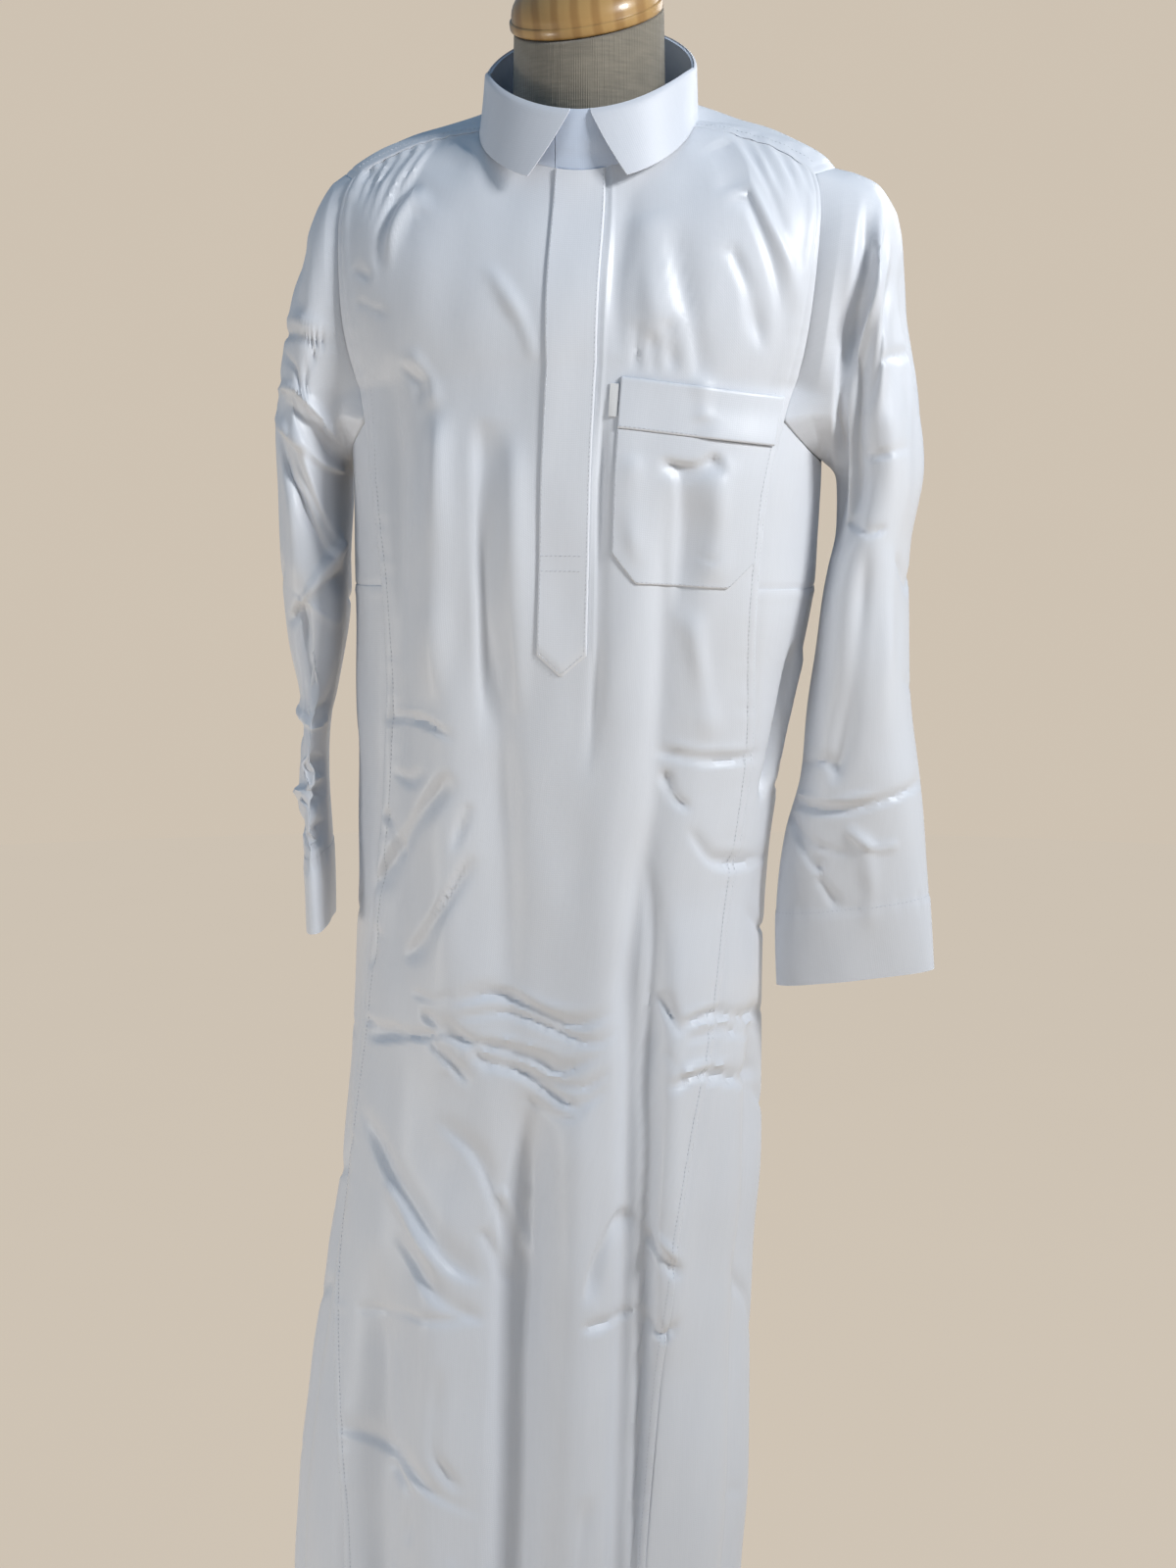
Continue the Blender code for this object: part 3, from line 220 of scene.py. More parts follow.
    (L, SHARP, 4.5, -2, 0, 430, 40, 420, 80, 436),
    (L, SOFT, 10, -3, 0, 1150, 6, 1080, 0, 1000),
    (R, EDGE, 7, -3, -50, 1040, -10, 1010, 40, 1012, 74, 1040),
    (R, SOFT, 6, -2.4, -60, 910, -20, 880, 36, 890),
    (R, SHARP, 4.5, -2.2, -60, 780, 0, 790, 60, 776),
    (R, EDGE, 6, -2.8, -70, 700, -30, 656, 20, 640),
    (R, SOFT, 6, -2.4, -40, 560, 0, 520, 10, 450),
    (R, SHARP, 4.5, -2, -30, 400, 20, 392, 70, 410),
    (R, SOFT, 10, -3, -6, 1150, 0, 1080, 6, 1000),
)

# Creases of the chest pocket, which the panel under it shares
POCKET_CREASES = (
    (F, EDGE, 6.5, -4.2, 118, 1268, 98, 1259, 70, 1264),
    (F, EDGE, 11, -5, 86, 1264, 90, 1215, 84, 1140),
    (F, SOFT, 12, 2.4, 116, 1270, 116, 1215, 112, 1165),
    (F, SOFT, 10, 1.6, 52, 1272, 50, 1225, 54, 1180),
    (F, SHARP, 3, -1.2, 98, 1192, 112, 1186, 118, 1194),
    (F, SOFT, 9, 1.6, 104, 1330, 104, 1292),
)

LEFT_SLEEVE_CREASES = (
    (F, EDGE, 7.5, -7, 228, 1476, 224, 1416, 215, 1361, 208, 1312, 206, 1237, 204, 1180),
    (F, SOFT, 5, 4.4, 237, 1478, 238, 1406, 227, 1361, 220, 1329, 217, 1280),
    (F, SOFT, 4.6, -2.6, 246, 1470, 250, 1410, 240, 1350, 232, 1300),
    (F, SOFT, 4, -2.2, 234, 1482, 245, 1462, 243, 1430, 240, 1404),
    (F, SHARP, 2.6, 1, 258, 1410, 262, 1330, 264, 1224, 262, 1170),
    (F, SOFT, 7, -2.4, 252, 1420, 250, 1350, 246, 1290),
    (F, EDGE, 3.8, -2.4, 240, 1341, 252, 1344, 264, 1350),
    (F, EDGE, 3.8, -2, 226, 1266, 246, 1268, 266, 1274),
    (F, EDGE, 3.8, -2.2, 214, 1216, 232, 1206, 250, 1210),
    (F, EDGE, 4, -2.4, 176, 1012, 196, 1020, 214, 1012),
    (F, EDGE, 4, 2.4, 214, 968, 240, 950, 262, 952),
    (F, SOFT, 10, -3.6, 232, 1200, 226, 1120, 212, 1030, 204, 1000),
    (F, SOFT, 9, 2.8, 250, 1200, 248, 1110, 246, 1030),
    (F, EDGE, 4.4, -3.2, 164, 984, 209, 980, 250, 990, 284, 1004),
    (F, SOFT, 4, 1.8, 168, 993, 209, 989, 248, 999),
    (F, SHARP, 3.4, -2, 172, 966, 196, 950, 232, 944),
    (F, EDGE, 5.5, -2.6, 166, 980, 188, 938, 201, 930),
    (F, SOFT, 5, -2.2, 194, 926, 214, 896),
    (F, SOFT, 8, 2, 230, 965, 238, 920, 236, 880),
    (B, SOFT, 9, -4, 222, 1440, 220, 1360, 212, 1280),
    (B, EDGE, 6, -2.8, 200, 1120, 230, 1096, 262, 1110),
    (B, SHARP, 4, -2, 196, 1040, 236, 1030, 270, 1046),
    (B, SOFT, 7, -2.6, 240, 1000, 220, 950, 214, 890),
    (L, SOFT, 9, -3.2, -20, 1430, -10, 1340, 10, 1250),
    (L, EDGE, 6, -2.8, -60, 1190, -20, 1160, 30, 1170),
    (L, SHARP, 4, -2, -50, 1090, 0, 1076, 50, 1092),
    (L, SOFT, 7, 2.4, 30, 1400, 34, 1300, 28, 1210),
)

RIGHT_SLEEVE_CREASES = (
    (F, SOFT, 3.6, -2.8, -256, 1364, -234, 1365, -212, 1359, -184, 1361),
    (F, SOFT, 5, 1.4, -250, 1376, -232, 1377, -212, 1371, -190, 1373),
    (F, SHARP, 3.2, -2.6, -250, 1352, -232, 1338, -226, 1318, -218, 1322),
    (F, SHARP, 3.2, -2.4, -212, 1352, -220, 1338, -223, 1320),
    (F, EDGE, 4.5, 4.2, -258, 1320, -230, 1318, -212, 1294, -196, 1268, -182, 1240),
    (F, EDGE, 4.5, 3.8, -258, 1300, -232, 1280, -212, 1258, -184, 1240),
    (F, SOFT, 6, -3.2, -240, 1312, -216, 1286, -198, 1254),
    (F, SOFT, 8, 2.6, -238, 1262, -234, 1210, -230, 1160),
    (F, EDGE, 6, -4, -186, 1196, -206, 1168, -228, 1144, -246, 1130),
    (F, SHARP, 3.5, 2.2, -240, 1150, -222, 1146, -204, 1120),
    (F, EDGE, 5, 5, -188, 1238, -204, 1200, -218, 1168, -229, 1140),
    (F, EDGE, 4.5, -4.6, -229, 1150, -227, 1112, -223, 1082, -219, 1048),
    (F, EDGE, 4, -4.2, -228, 1056, -214, 1032, -228, 1000, -215, 968, -228, 946, -218, 912),
    (F, EDGE, 4, 3.6, -244, 1064, -226, 1048, -208, 1034),
    (F, EDGE, 4, 3.6, -208, 1016, -224, 996, -244, 984),
    (F, EDGE, 4, -3.6, -246, 968, -228, 950, -208, 944),
    (F, SHARP, 3.6, 3, -236, 1040, -232, 1000, -238, 956),
    (F, SOFT, 6, -3, -214, 1128, -218, 1080, -216, 1032, -222, 974, -214, 917),
    (F, SHARP, 3.5, 2, -232, 1100, -228, 1040, -236, 960, -230, 900),
    (F, SHARP, 3.5, -2, -246, 1068, -224, 1056, -206, 1066),
    (F, SHARP, 3.5, -2, -244, 936, -226, 928, -208, 940),
    (F, SOFT, 9, -2.4, -236, 1450, -232, 1410, -226, 1376),
    (B, SOFT, 9, -4, -222, 1440, -226, 1360, -224, 1280),
    (B, EDGE, 6, -2.8, -200, 1260, -230, 1232, -256, 1240),
    (B, SHARP, 4, -2.2, -204, 1150, -230, 1138, -254, 1152),
    (B, SOFT, 6, -2.6, -226, 1120, -230, 1040, -228, 950),
    (R, EDGE, 6, -3.2, -74, 1330, -30, 1312, 20, 1290, 60, 1262),
    (R, EDGE, 6, -3, -70, 1180, -20, 1150, 40, 1150),
    (R, SHARP, 4, -2.2, -60, 1070, 0, 1056, 50, 1072),
    (R, SOFT, 8, -3, -30, 1450, -24, 1390, -10, 1340),
    (R, SOFT, 8, 2.4, 20, 1040, 24, 980, 14, 910),
)

# Share that sharpens every crease, share that deepens it, and the narrowest that the grids can carry
NARROWER = 0.80
DEEPER = 1.28
LEAST_WIDTH = 2.7
# Reach of a crease in its own widths, and the shares of its length over which it begins and ends
CREASE_REACH = 3.4
GATHER_ENDS = (0.05, 0.75)
CREASE_ENDS = (0.22, 0.30)

# Slow waves that keep the cloth from lying too evenly: waves a metre along x, y, z, then millimetres
BODY_WAVES = (
    (9.0, 7.0, 2.3, 0.50),
    (-14.0, 11.0, 3.1, 0.36),
    (21.0, -17.0, 5.3, 0.22),
    (6.0, -5.0, 9.7, 0.24),
    (27.0, 23.0, -8.0, 0.12),
)


def smooth(share: Array) -> Array:
    """Ease from 0 to 1."""
    share = np.clip(share, 0.0, 1.0)
    return share * share * (3 - 2 * share)


def mix(a: Array, b: Array, share: Array) -> Array:
    """Blend from a to b."""
    return a + (b - a) * share


def blend_rows(rows: Array, index: Array, share: Array) -> Array:
    """Catmull-Rom curve through a table's rows.

    Args:
        rows: Table of numbers, one row a knot.
        index: Row before each wanted place.
        share: Way from that row to the next one.

    Returns:
        One row of values for each place.
    """
    last = len(rows) - 1
    a, b, c, d = (rows[np.clip(index + k, 0, last)] for k in (-1, 0, 1, 2))
    t = np.asarray(share)[..., None]
    curve = 2 * b + (c - a) * t + (2 * a - 5 * b + 4 * c - d) * t ** 2
    return 0.5 * (curve + (3 * b - a - 3 * c + d) * t ** 3)


def read_rows(table: tuple, height: Array) -> Array:
    """Read a table whose first column is a falling height.

    Args:
        table: Rows of a height and its values.
        height: Wanted heights.

    Returns:
        Values for each height along the last axis.
    """
    rows = np.array(table)
    keys = rows[:, 0]
    height = np.clip(height, keys[-1], keys[0])
    index = np.clip(np.searchsorted(-keys, -height, side="right") - 1, 0, len(rows) - 2)
    share = (keys[index] - height) / (keys[index] - keys[index + 1])
    return blend_rows(rows[:, 1:], index, share)


def rounded(path: list[float], steps: int = 7) -> Array:
    """Turn a crease's few places into a smooth line, in metres."""
    rows = np.array(path, float).reshape(-1, 2) * MM
    places = np.linspace(0, len(rows) - 1, steps * (len(rows) - 1) + 1)
    index = np.minimum(places.astype(int), len(rows) - 2)
    return blend_rows(rows, index, places - index)


def cross_section(shape: Shape, away: Array) -> Array:
    """Height of a crease's cross-section.

    Args:
        shape: Kind of crease.
        away: Signed distance from its line, in widths.

    Returns:
        Heights, 1 at the highest.
    """
    if shape is Shape.SOFT:
        return np.exp(-away ** 2)
    if shape is Shape.SHARP:
        return np.exp(-1.6 * np.sqrt(away ** 2 + 0.02))
    steep, easy = np.exp(-(away / 0.55) ** 2), np.exp(-(away / 1.7) ** 2)
    return np.where(away < 0, steep, easy)


def relief(creases: tuple, places: dict[Face, tuple[Array, Array, Array]]) -> Array:
    """Add up creases over a surface.

    Args:
        creases: Rows of face, shape, width, depth and pairs of places.
        places: For each face the distance across, the height and how far a point faces it.

    Returns:
        Height of the relief at each point, in metres.
    """
    total = np.zeros(next(iter(places.values()))[0].shape)
    for number, (face, shape, width, depth, *path) in enumerate(creases):
        if face not in places:
            continue
        across, height, weight = places[face]
        line = rounded(path)
        reach = CREASE_REACH * width * MM
        low, high = line.min(axis=0) - reach, line.max(axis=0) + reach
        near = (across > low[0]) & (across < high[0]) & (weight > 0)
        near = near & (height > low[1]) & (height < high[1])
        if not near.any():
            continue
        spots = np.stack((across[near], height[near]), axis=-1)[:, None, :]
        start, step = line[:-1], np.diff(line, axis=0)
        along = ((spots - start) * step).sum(-1) / (step ** 2).sum(-1)
        along = np.clip(along, 0.0, 1.0)
        away = spots - (start + along[..., None] * step)
        distance = np.linalg.norm(away, axis=-1)
        pick = distance.argmin(axis=1)
        rows = np.arange(len(pick))
        side = np.sign(step[pick, 0] * away[rows, pick, 1] - step[pick, 1] * away[rows, pick, 0])
        share = (pick + along[rows, pick]) / len(step)
        head, tail = GATHER_ENDS if shape is Shape.GATHER else CREASE_ENDS
        ease = smooth(share / head) * smooth((1 - share) / tail)
        uneven = 1 + 0.28 * np.sin(TURN * (1.6 * share + 0.37 * number))
        swell = 1 + 0.20 * np.sin(TURN * (1.1 * share + 0.61 * number))
        broad = max(width * NARROWER, LEAST_WIDTH) * MM * swell
        height_here = cross_section(shape, side * distance[rows, pick] / broad)
        total[near] += depth * DEEPER * MM * ease * uneven * height_here * weight[near]
    return total


def waves(points: Array) -> Array:
    """Slow uneven waves over a piece of cloth."""
    total = np.zeros(points.shape[:-1])
    for number, (a, b, c, high) in enumerate(BODY_WAVES):
        phase = TURN * (a * points[..., 0] + b * points[..., 1] + c * points[..., 2])
        total += high * MM * np.sin(phase + 1.7 * number)
    return total


def normals_of(points: Array, closed: bool = False) -> Array:
    """Normals of a grid of points.

    Args:
        points: Grid of rows by columns.
        closed: True where the last column meets the first.

    Returns:
        Unit normals, by the order of rows and columns.
    """
    if closed:
        around = np.roll(points, -1, axis=1) - np.roll(points, 1, axis=1)
    else:
        around = np.gradient(points, axis=1)
    down = np.gradient(points, axis=0)
    normal = np.cross(down, around)
    length = np.linalg.norm(normal, axis=-1, keepdims=True)
    return normal / np.maximum(length, 1e-12)


@dataclass(frozen=True)
class RobeForm:
    """The robe's own shape, worked out from the same sizes as its solids."""

    cap_z: float = 1.340
    hem_z: float = 0.130
    gusset_top_z: float = 1.312
    gusset_dip: float = 0.030
    gusset_low_z: float = 1.170
    row_droop: float = 0.022
    droop_end_z: float = 1.000
    # height, centre x, half width, front depth, back depth, power
    rings: tuple = (
        (1.34, -0.004, 0.195, 0.121, 0.113, 2.6),
        (1.25, -0.0033, 0.1933, 0.13, 0.118, 2.5),
        (1.15, -0.0065, 0.1895, 0.131, 0.117, 2.45),
        (1.06, -0.015, 0.182, 0.13, 0.116, 2.4),
        (1, -0.0185, 0.1765, 0.129, 0.116, 2.4),
        (0.9, -0.025, 0.172, 0.128, 0.116, 2.35),
        (0.76, -0.029, 0.1765, 0.128, 0.118, 2.3),
        (0.66, -0.035, 0.182, 0.129, 0.12, 2.3),
        (0.585, -0.044, 0.185, 0.13, 0.122, 2.3),
        (0.49, -0.053, 0.192, 0.131, 0.124, 2.3),
        (0.4, -0.059, 0.198, 0.132, 0.126, 2.3),
        (0.3, -0.0655, 0.1985, 0.133, 0.128, 2.3),
        (0.13, -0.071, 0.2, 0.134, 0.13, 2.3),
    )
    # height, seam on the wearer's right, seam on the wearer's left, middle
    front_seams: tuple = (
        (1.5, -0.198, 0.206, 0.009),
        (1.42, -0.193, 0.192, 0.006),
        (1.34, -0.18, 0.172, 0.0015),
        (1.294, -0.173, 0.162, -0.0005),
        (1.25, -0.167, 0.154, -0.002),
        (1.154, -0.158, 0.146, -0.004),
        (1.018, -0.161, 0.142, -0.008),
        (0.903, -0.171, 0.126, -0.013),
        (0.797, -0.184, 0.113, -0.02),
        (0.714, -0.197, 0.097, -0.03),
        (0.632, -0.211, 0.083, -0.04),
        (0.505, -0.21, 0.073, -0.048),
        (0.363, -0.199, 0.064, -0.056),
        (0.13, -0.196, 0.056, -0.064),
    )
    back_seams: tuple = (
        (1.34, -0.18, 0.172, -0.004),
        (1.158, -0.166, 0.148, -0.014),
        (0.9, -0.172, 0.118, -0.029),
        (0.585, -0.19, 0.098, -0.046),
        (0.13, -0.214, 0.068, -0.073),
    )
    # face, place at top, height at top, place at foot, height at foot, half width, depth
    large_folds: tuple = (
        (F, 0.086, 1.27, 0.076, 1.02, 0.016, -0.009),
        (F, 0.076, 1.02, 0.054, 0.88, 0.014, -0.011),
        (F, 0.054, 0.88, 0.052, 0.63, 0.013, -0.013),
        (F, 0.052, 0.63, 0.04, 0.13, 0.014, -0.015),
        (F, 0.046, 1.22, 0.024, 0.8, 0.02, 0.005),
        (F, 0.01, 0.8, -0.008, 0.13, 0.02, 0.012),
        (F, -0.034, 0.78, -0.052, 0.13, 0.02, -0.02),
        (F, -0.062, 1.16, -0.052, 0.86, 0.016, -0.006),
        (F, -0.105, 1.3, -0.098, 0.84, 0.022, 0.006),
        (F, -0.145, 1.16, -0.15, 0.92, 0.014, -0.006),
        (F, -0.105, 0.7, -0.118, 0.13, 0.024, 0.01),
        (F, -0.165, 0.62, -0.17, 0.13, 0.02, -0.012),
        (F, 0.095, 0.92, 0.08, 0.6, 0.018, 0.006),
        (B, 0, 1.2, -0.03, 0.13, 0.022, -0.018),
        (B, -0.078, 1.06, -0.11, 0.13, 0.02, -0.016),
        (B, 0.07, 1.1, 0.03, 0.13, 0.018, -0.015),
        (B, -0.04, 1.12, -0.07, 0.13, 0.018, 0.01),
        (B, 0.036, 1.12, 0.002, 0.13, 0.018, 0.01),
        (L, 0.03, 0.92, 0.034, 0.13, 0.018, -0.014),
        (L, -0.03, 0.84, -0.04, 0.13, 0.018, -0.012),
        (R, 0.024, 0.96, 0.03, 0.13, 0.018, -0.014),
        (R, -0.042, 0.74, -0.05, 0.13, 0.018, -0.01),
    )
    fold_fade: float = 0.10
    neck_half: float = 0.084
    neck_front: float = 0.083
    neck_back: float = 0.074
    neck_z: float = 1.535
    neck_tilt: float = 0.55
    neck_dip: float = 0.045
    neck_dip_power: float = 1.6
    front_drop_x: float = 0.003
    side_out: float = 0.094
    front_out: float = 0.020
    side_lift: float = -0.008
    front_fall: float = -0.050
    side_puff: float = 0.084
    side_rise: float = 0.180
    front_rise: float = 0.070
    shoulder_power: float = 2.4
    yoke_angle: float = 74.0
    armhole_share: float = 0.47
    yoke_widens: float = 96.0
    back_corner_angle: float = 112.0
    back_corner_share: float = 0.60
    back_yoke_share: float = 0.40
    armhole_bow: float = 5.0
    placket_half: float = 0.0200

    def folds(self, x: Array, y: Array, z: Array, angle: Array) -> Array:
        """Sum of the largest folds, which the solids have too."""
        front, left = np.cos(angle), np.sin(angle)
        faces = {F: (x, front), B: (x, -front), L: (y, left), R: (y, -left)}
        total = np.zeros(np.shape(x))
        for face, top_place, top_z, foot_place, foot_z, half_width, depth in self.large_folds:
            place, facing = faces[face]
            middle = mix(top_place, foot_place, (top_z - z) / (top_z - foot_z))
            fade = smooth((top_z - z) / self.fold_fade) * smooth((facing - 0.25) / 0.3)
            if foot_z > self.hem_z:
                fade = fade * smooth((z - foot_z + self.fold_fade) / self.fold_fade)
            total += depth * fade * np.exp(-((place - middle) / half_width) ** 2)
        return total

    def radius(self, angle: Array, half_width: Array, depth: Array, power: Array) -> Array:
        """Distance from the middle line to a ring."""
        across, along = np.abs(np.sin(angle)) / half_width, np.abs(np.cos(angle)) / depth
        return (across ** power + along ** power) ** (-1.0 / power)

    def lower_point(self, angle: Array, height: Array) -> Array:
        """Point of the robe below the cap ring."""
        angle, height = np.broadcast_arrays(angle, height)
        centre, half_width, front, back, power = np.moveaxis(read_rows(self.rings, height), -1, 0)
        depth = np.where(np.cos(angle) > 0, front, back)
        radius = self.radius(angle, half_width, depth, power)
        droop = self.row_droop * smooth((height - self.droop_end_z) / (self.cap_z - self.droop_end_z))
        x = centre + radius * np.sin(angle)
        y = -radius * np.cos(angle)
        z = height - droop * np.sin(angle) ** 2
        depth = self.folds(x, y, z, angle)
        return np.stack((x + depth * np.sin(angle), y - depth * np.cos(angle), z), axis=-1)

    def neck_rise(self, y: Array) -> Array:
        """Rise of the neck seam to the back and its dip to the front."""
        dip = -self.neck_dip * (np.maximum(-y, 0) / self.neck_front) ** self.neck_dip_power
        return np.where(y > 0, self.neck_tilt * y, dip)

    def neck_point(self, angle: Array, lift: Array = 0.0, widen: Array = 0.0) -> Array:
        """Point of the neck seam, raised along the collar and widened."""
        depth = np.where(np.cos(angle) > 0, self.neck_front, self.neck_back)
        radius = self.radius(angle, self.neck_half, depth, 2.0) + widen
        shift = self.front_drop_x * np.maximum(np.cos(angle), 0.0) ** 3
        x, y = shift + radius * np.sin(angle), -radius * np.cos(angle)
        return np.stack(np.broadcast_arrays(x, y, self.neck_z + self.neck_rise(y) + lift), axis=-1)

    def cap_point(self, angle: Array, share: Array) -> Array:
        """Point between the neck seam and the cap ring."""
        angle, share = np.broadcast_arrays(angle, share)
        side = np.abs(np.sin(angle)) ** self.shoulder_power
        start, end = self.neck_point(angle), self.lower_point(angle, self.cap_z)
        out = np.stack((np.sin(angle), -0.5 * np.cos(angle), np.zeros(angle.shape)), axis=-1)
        first = start + out * mix(self.front_out, self.side_out, side)[..., None]
        first[..., 2] += mix(self.front_fall, self.side_lift, side)
        second = end.copy()
        second[..., 0] += np.sin(angle) * self.side_puff * side
        second[..., 2] += mix(self.front_rise, self.side_rise, side)
        share = share[..., None]
        rest = 1.0 - share
        point = rest ** 3 * start + 3 * rest ** 2 * share * first
        return point + 3 * rest * share ** 2 * second + share ** 3 * end

    def point(self, angle: Array, level: Array) -> Array:
        """Robe surface: level 0 to 1 is the cap, and 1 plus metres below the cap ring."""
        angle, level = np.broadcast_arrays(np.asarray(angle, float), np.asarray(level, float))
        upper = self.cap_point(angle, np.clip(level, 0.0, 1.0))
        lower = self.lower_point(angle, self.cap_z - np.maximum(level - 1.0, 0.0))
        return np.where((level <= 1.0)[..., None], upper, lower)

    def level_of(self, height: Array) -> Array:
        """Level of a height below the cap ring."""
        return 1.0 + self.cap_z - height

    def angle_at(self, x: Array, height: Array, face: Face) -> Array:
        """Angle of the ring point at a given x."""
        centre, half_width, front, back, power = np.moveaxis(read_rows(self.rings, height), -1, 0)
        across = np.minimum(np.abs(x - centre) / half_width, 0.995)
        depth = front if face is F else back
        along = depth * (1 - across ** power) ** (1 / power)
        angle = np.copysign(np.arctan2(across * half_width, along), x - centre)
        return angle if face is F else np.copysign(math.pi, angle) - angle

    def seam_angle(self, side: int, height: Array, face: Face) -> Array:
        """Angle of a side seam; side is 1 on the wearer's left."""
        rows = read_rows(self.front_seams if face is F else self.back_seams, height)
        return self.angle_at(rows[..., 1] if side > 0 else rows[..., 0], height, face)

    def armhole_angle(self, side: int, share: Array, face: Face) -> Array:
        """Angle of the armhole on the cap."""
        if face is F:
            top, begin = math.radians(self.yoke_angle) * side, self.armhole_share
        else:
            top, begin = math.radians(self.back_corner_angle) * side, self.back_corner_share
        foot = self.seam_angle(side, np.array(self.cap_z), face)
        along = (share - begin) / (1 - begin)
        bow = math.radians(self.armhole_bow) * np.sin(math.pi * along) * side
        return mix(top, foot, along) + (bow if face is B else -bow)

    def neck_reach(self) -> float:
        """Distance from the middle line to where the yoke seam meets the neck seam."""
        return self.neck_half * math.sin(math.radians(self.yoke_angle))

    def front_reach(self, side: int) -> float:
        """Width of half the front panel at the cap ring."""
        right, left, middle = read_rows(self.front_seams, np.array(self.cap_z))
        return float(left - middle if side > 0 else middle - right) - 0.0002

    def front_station(self, offset: Array, level: Array) -> tuple[Array, Array]:
        """Angle and level of a front panel point.

        Args:
            offset: Cut distance from the middle line.
            level: Level down the panel, 0 at its top edge.

        Returns:
            Angle and level on the robe.
        """
        offset, level = np.broadcast_arrays(np.asarray(offset, float), np.asarray(level, float))
        left = offset >= 0
        side = np.where(left, 1.0, -1.0)
        height = self.cap_z - np.maximum(level - 1.0, 0.0)
        rows, cap = read_rows(self.front_seams, height), read_rows(self.front_seams, np.array(self.cap_z))
        reach = np.where(left, rows[..., 1] - rows[..., 2], rows[..., 2] - rows[..., 0])
        cap_reach = np.where(left, cap[1] - cap[2], cap[2] - cap[0])
        kept = np.minimum(np.abs(offset), self.placket_half)
        spread = (np.abs(offset) - kept) / (cap_reach - self.placket_half)
        x = rows[..., 2] + side * (kept + spread * (reach - self.placket_half))
        lower = self.angle_at(x, height, F)
        foot = self.angle_at(cap[2] + offset, np.full(offset.shape, self.cap_z), F)
        neck = np.abs(offset) <= self.neck_reach()
        top = np.arcsin(np.clip(offset / self.neck_half, -1, 1))
        top = np.where(neck, top, math.radians(self.yoke_angle) * side)
        past = (np.abs(offset) - self.neck_reach()) / (cap_reach - self.neck_reach())
        top_level = np.where(neck, 0.0, self.armhole_share * past)
        bow = math.radians(self.armhole_bow) * np.sin(math.pi * np.clip(level, 0, 1)) * offset / cap_reach
        upper = mix(top, foot, level) - bow
        return np.where(level > 1.0, lower, upper), np.where(level > 1.0, level, mix(top_level, 1.0, level))

    def yoke_edge(self, turn: Array) -> Array:
        """Outer edge of the yoke as a share of the cap, by the turn from the front in degrees."""
        past = (turn - self.yoke_widens) / (self.back_corner_angle - self.yoke_widens)
        corner = mix(self.armhole_share, self.back_corner_share, smooth(past))
        seam = self.back_seam_share((180 - turn) / (180 - self.back_corner_angle))
        return np.where(turn <= self.back_corner_angle, corner, seam)

    def back_seam_share(self, across: Array) -> Array:
        """Share of the cap where the back yoke seam runs."""
        return mix(self.back_yoke_share, self.back_corner_share, np.abs(across) ** 3)

    def side_angle(self, side: int, share: Array, height: Array) -> Array:
        """Angle across a side piece, from the front seam to the back seam."""
        front = np.abs(self.seam_angle(side, height, F))
        back = np.abs(self.seam_angle(side, height, B))
        return side * mix(front, back, share)

    def gusset_top(self, share: Array) -> Array:
        """Height of the gusset's top edge."""
        return self.gusset_top_z - self.gusset_dip * (1 - (2 * share - 1) ** 2)

    def faces(self, points: Array, angle: Array) -> dict[Face, tuple[Array, Array, Array]]:
        """Places of points on the four faces of the robe, for relief."""
        x, y, z = points[..., 0], points[..., 1], points[..., 2]
        return {
            F: (x, z, smooth((np.cos(angle) - 0.02) / 0.12)),
            B: (x, z, smooth((-np.cos(angle) - 0.02) / 0.12)),
            L: (y, z, smooth((np.sin(angle) - 0.55) / 0.3)),
            R: (y, z, smooth((-np.sin(angle) - 0.55) / 0.3)),
        }


ROBE = RobeForm()


def quads_of(index: Array) -> Array:
    """Quads between the numbers of a grid's points, by rows and columns."""
    before, after = index[:, :-1], index[:, 1:]
    return np.stack((before[:-1], before[1:], after[1:], after[:-1]), axis=-1).reshape(-1, 4)


def new_mesh(name: str, points: Array, closed: bool, cut: Array | None) -> bpy.types.Mesh:
    """Mesh of quads on a grid of points.

    Args:
        name: Name of the mesh.
        points: Grid of rows by columns.
        closed: True where the last column meets the first.
        cut: Flat place of each point on its own cut, for the weave.

    Returns:
        The mesh, with a UV map where a cut is given.
    """
    rows, columns = points.shape[:2]
    index = np.arange(rows * columns).reshape(rows, columns)
    if closed:
        index = np.concatenate((index, index[:, :1]), axis=1)
    quads = quads_of(index)
    mesh = bpy.data.meshes.new(name)
    mesh.vertices.add(rows * columns)
    mesh.vertices.foreach_set("co", points.reshape(-1).astype(np.float32))
    mesh.loops.add(quads.size)
    mesh.loops.foreach_set("vertex_index", quads.reshape(-1).astype(np.int32))
    mesh.polygons.add(len(quads))
    mesh.polygons.foreach_set("loop_start", np.arange(0, quads.size, 4, dtype=np.int32))
    mesh.update(calc_edges=True)
    if cut is not None:
        layer = mesh.uv_layers.new(name="cut")
        places = quads_of(np.arange(cut.shape[0] * cut.shape[1]).reshape(cut.shape[:2])).reshape(-1)
        layer.data.foreach_set("uv", cut.reshape(-1, 2)[places].reshape(-1).astype(np.float32))
    mesh.validate()
    return mesh


def cut_of(points: Array) -> Array:
    """Flat place of each grid point, measured along its row and down its column."""
    across = np.linalg.norm(np.diff(points, axis=1), axis=-1)
    down = np.linalg.norm(np.diff(points, axis=0), axis=-1)
    u = np.concatenate((np.zeros((points.shape[0], 1)), np.cumsum(across, axis=1)), axis=1)
    u = u - u[:, [-1]] / 2
    v = np.concatenate((np.zeros((1, points.shape[1])), np.cumsum(down, axis=0)), axis=0)
    return np.stack((u, -v), axis=-1)


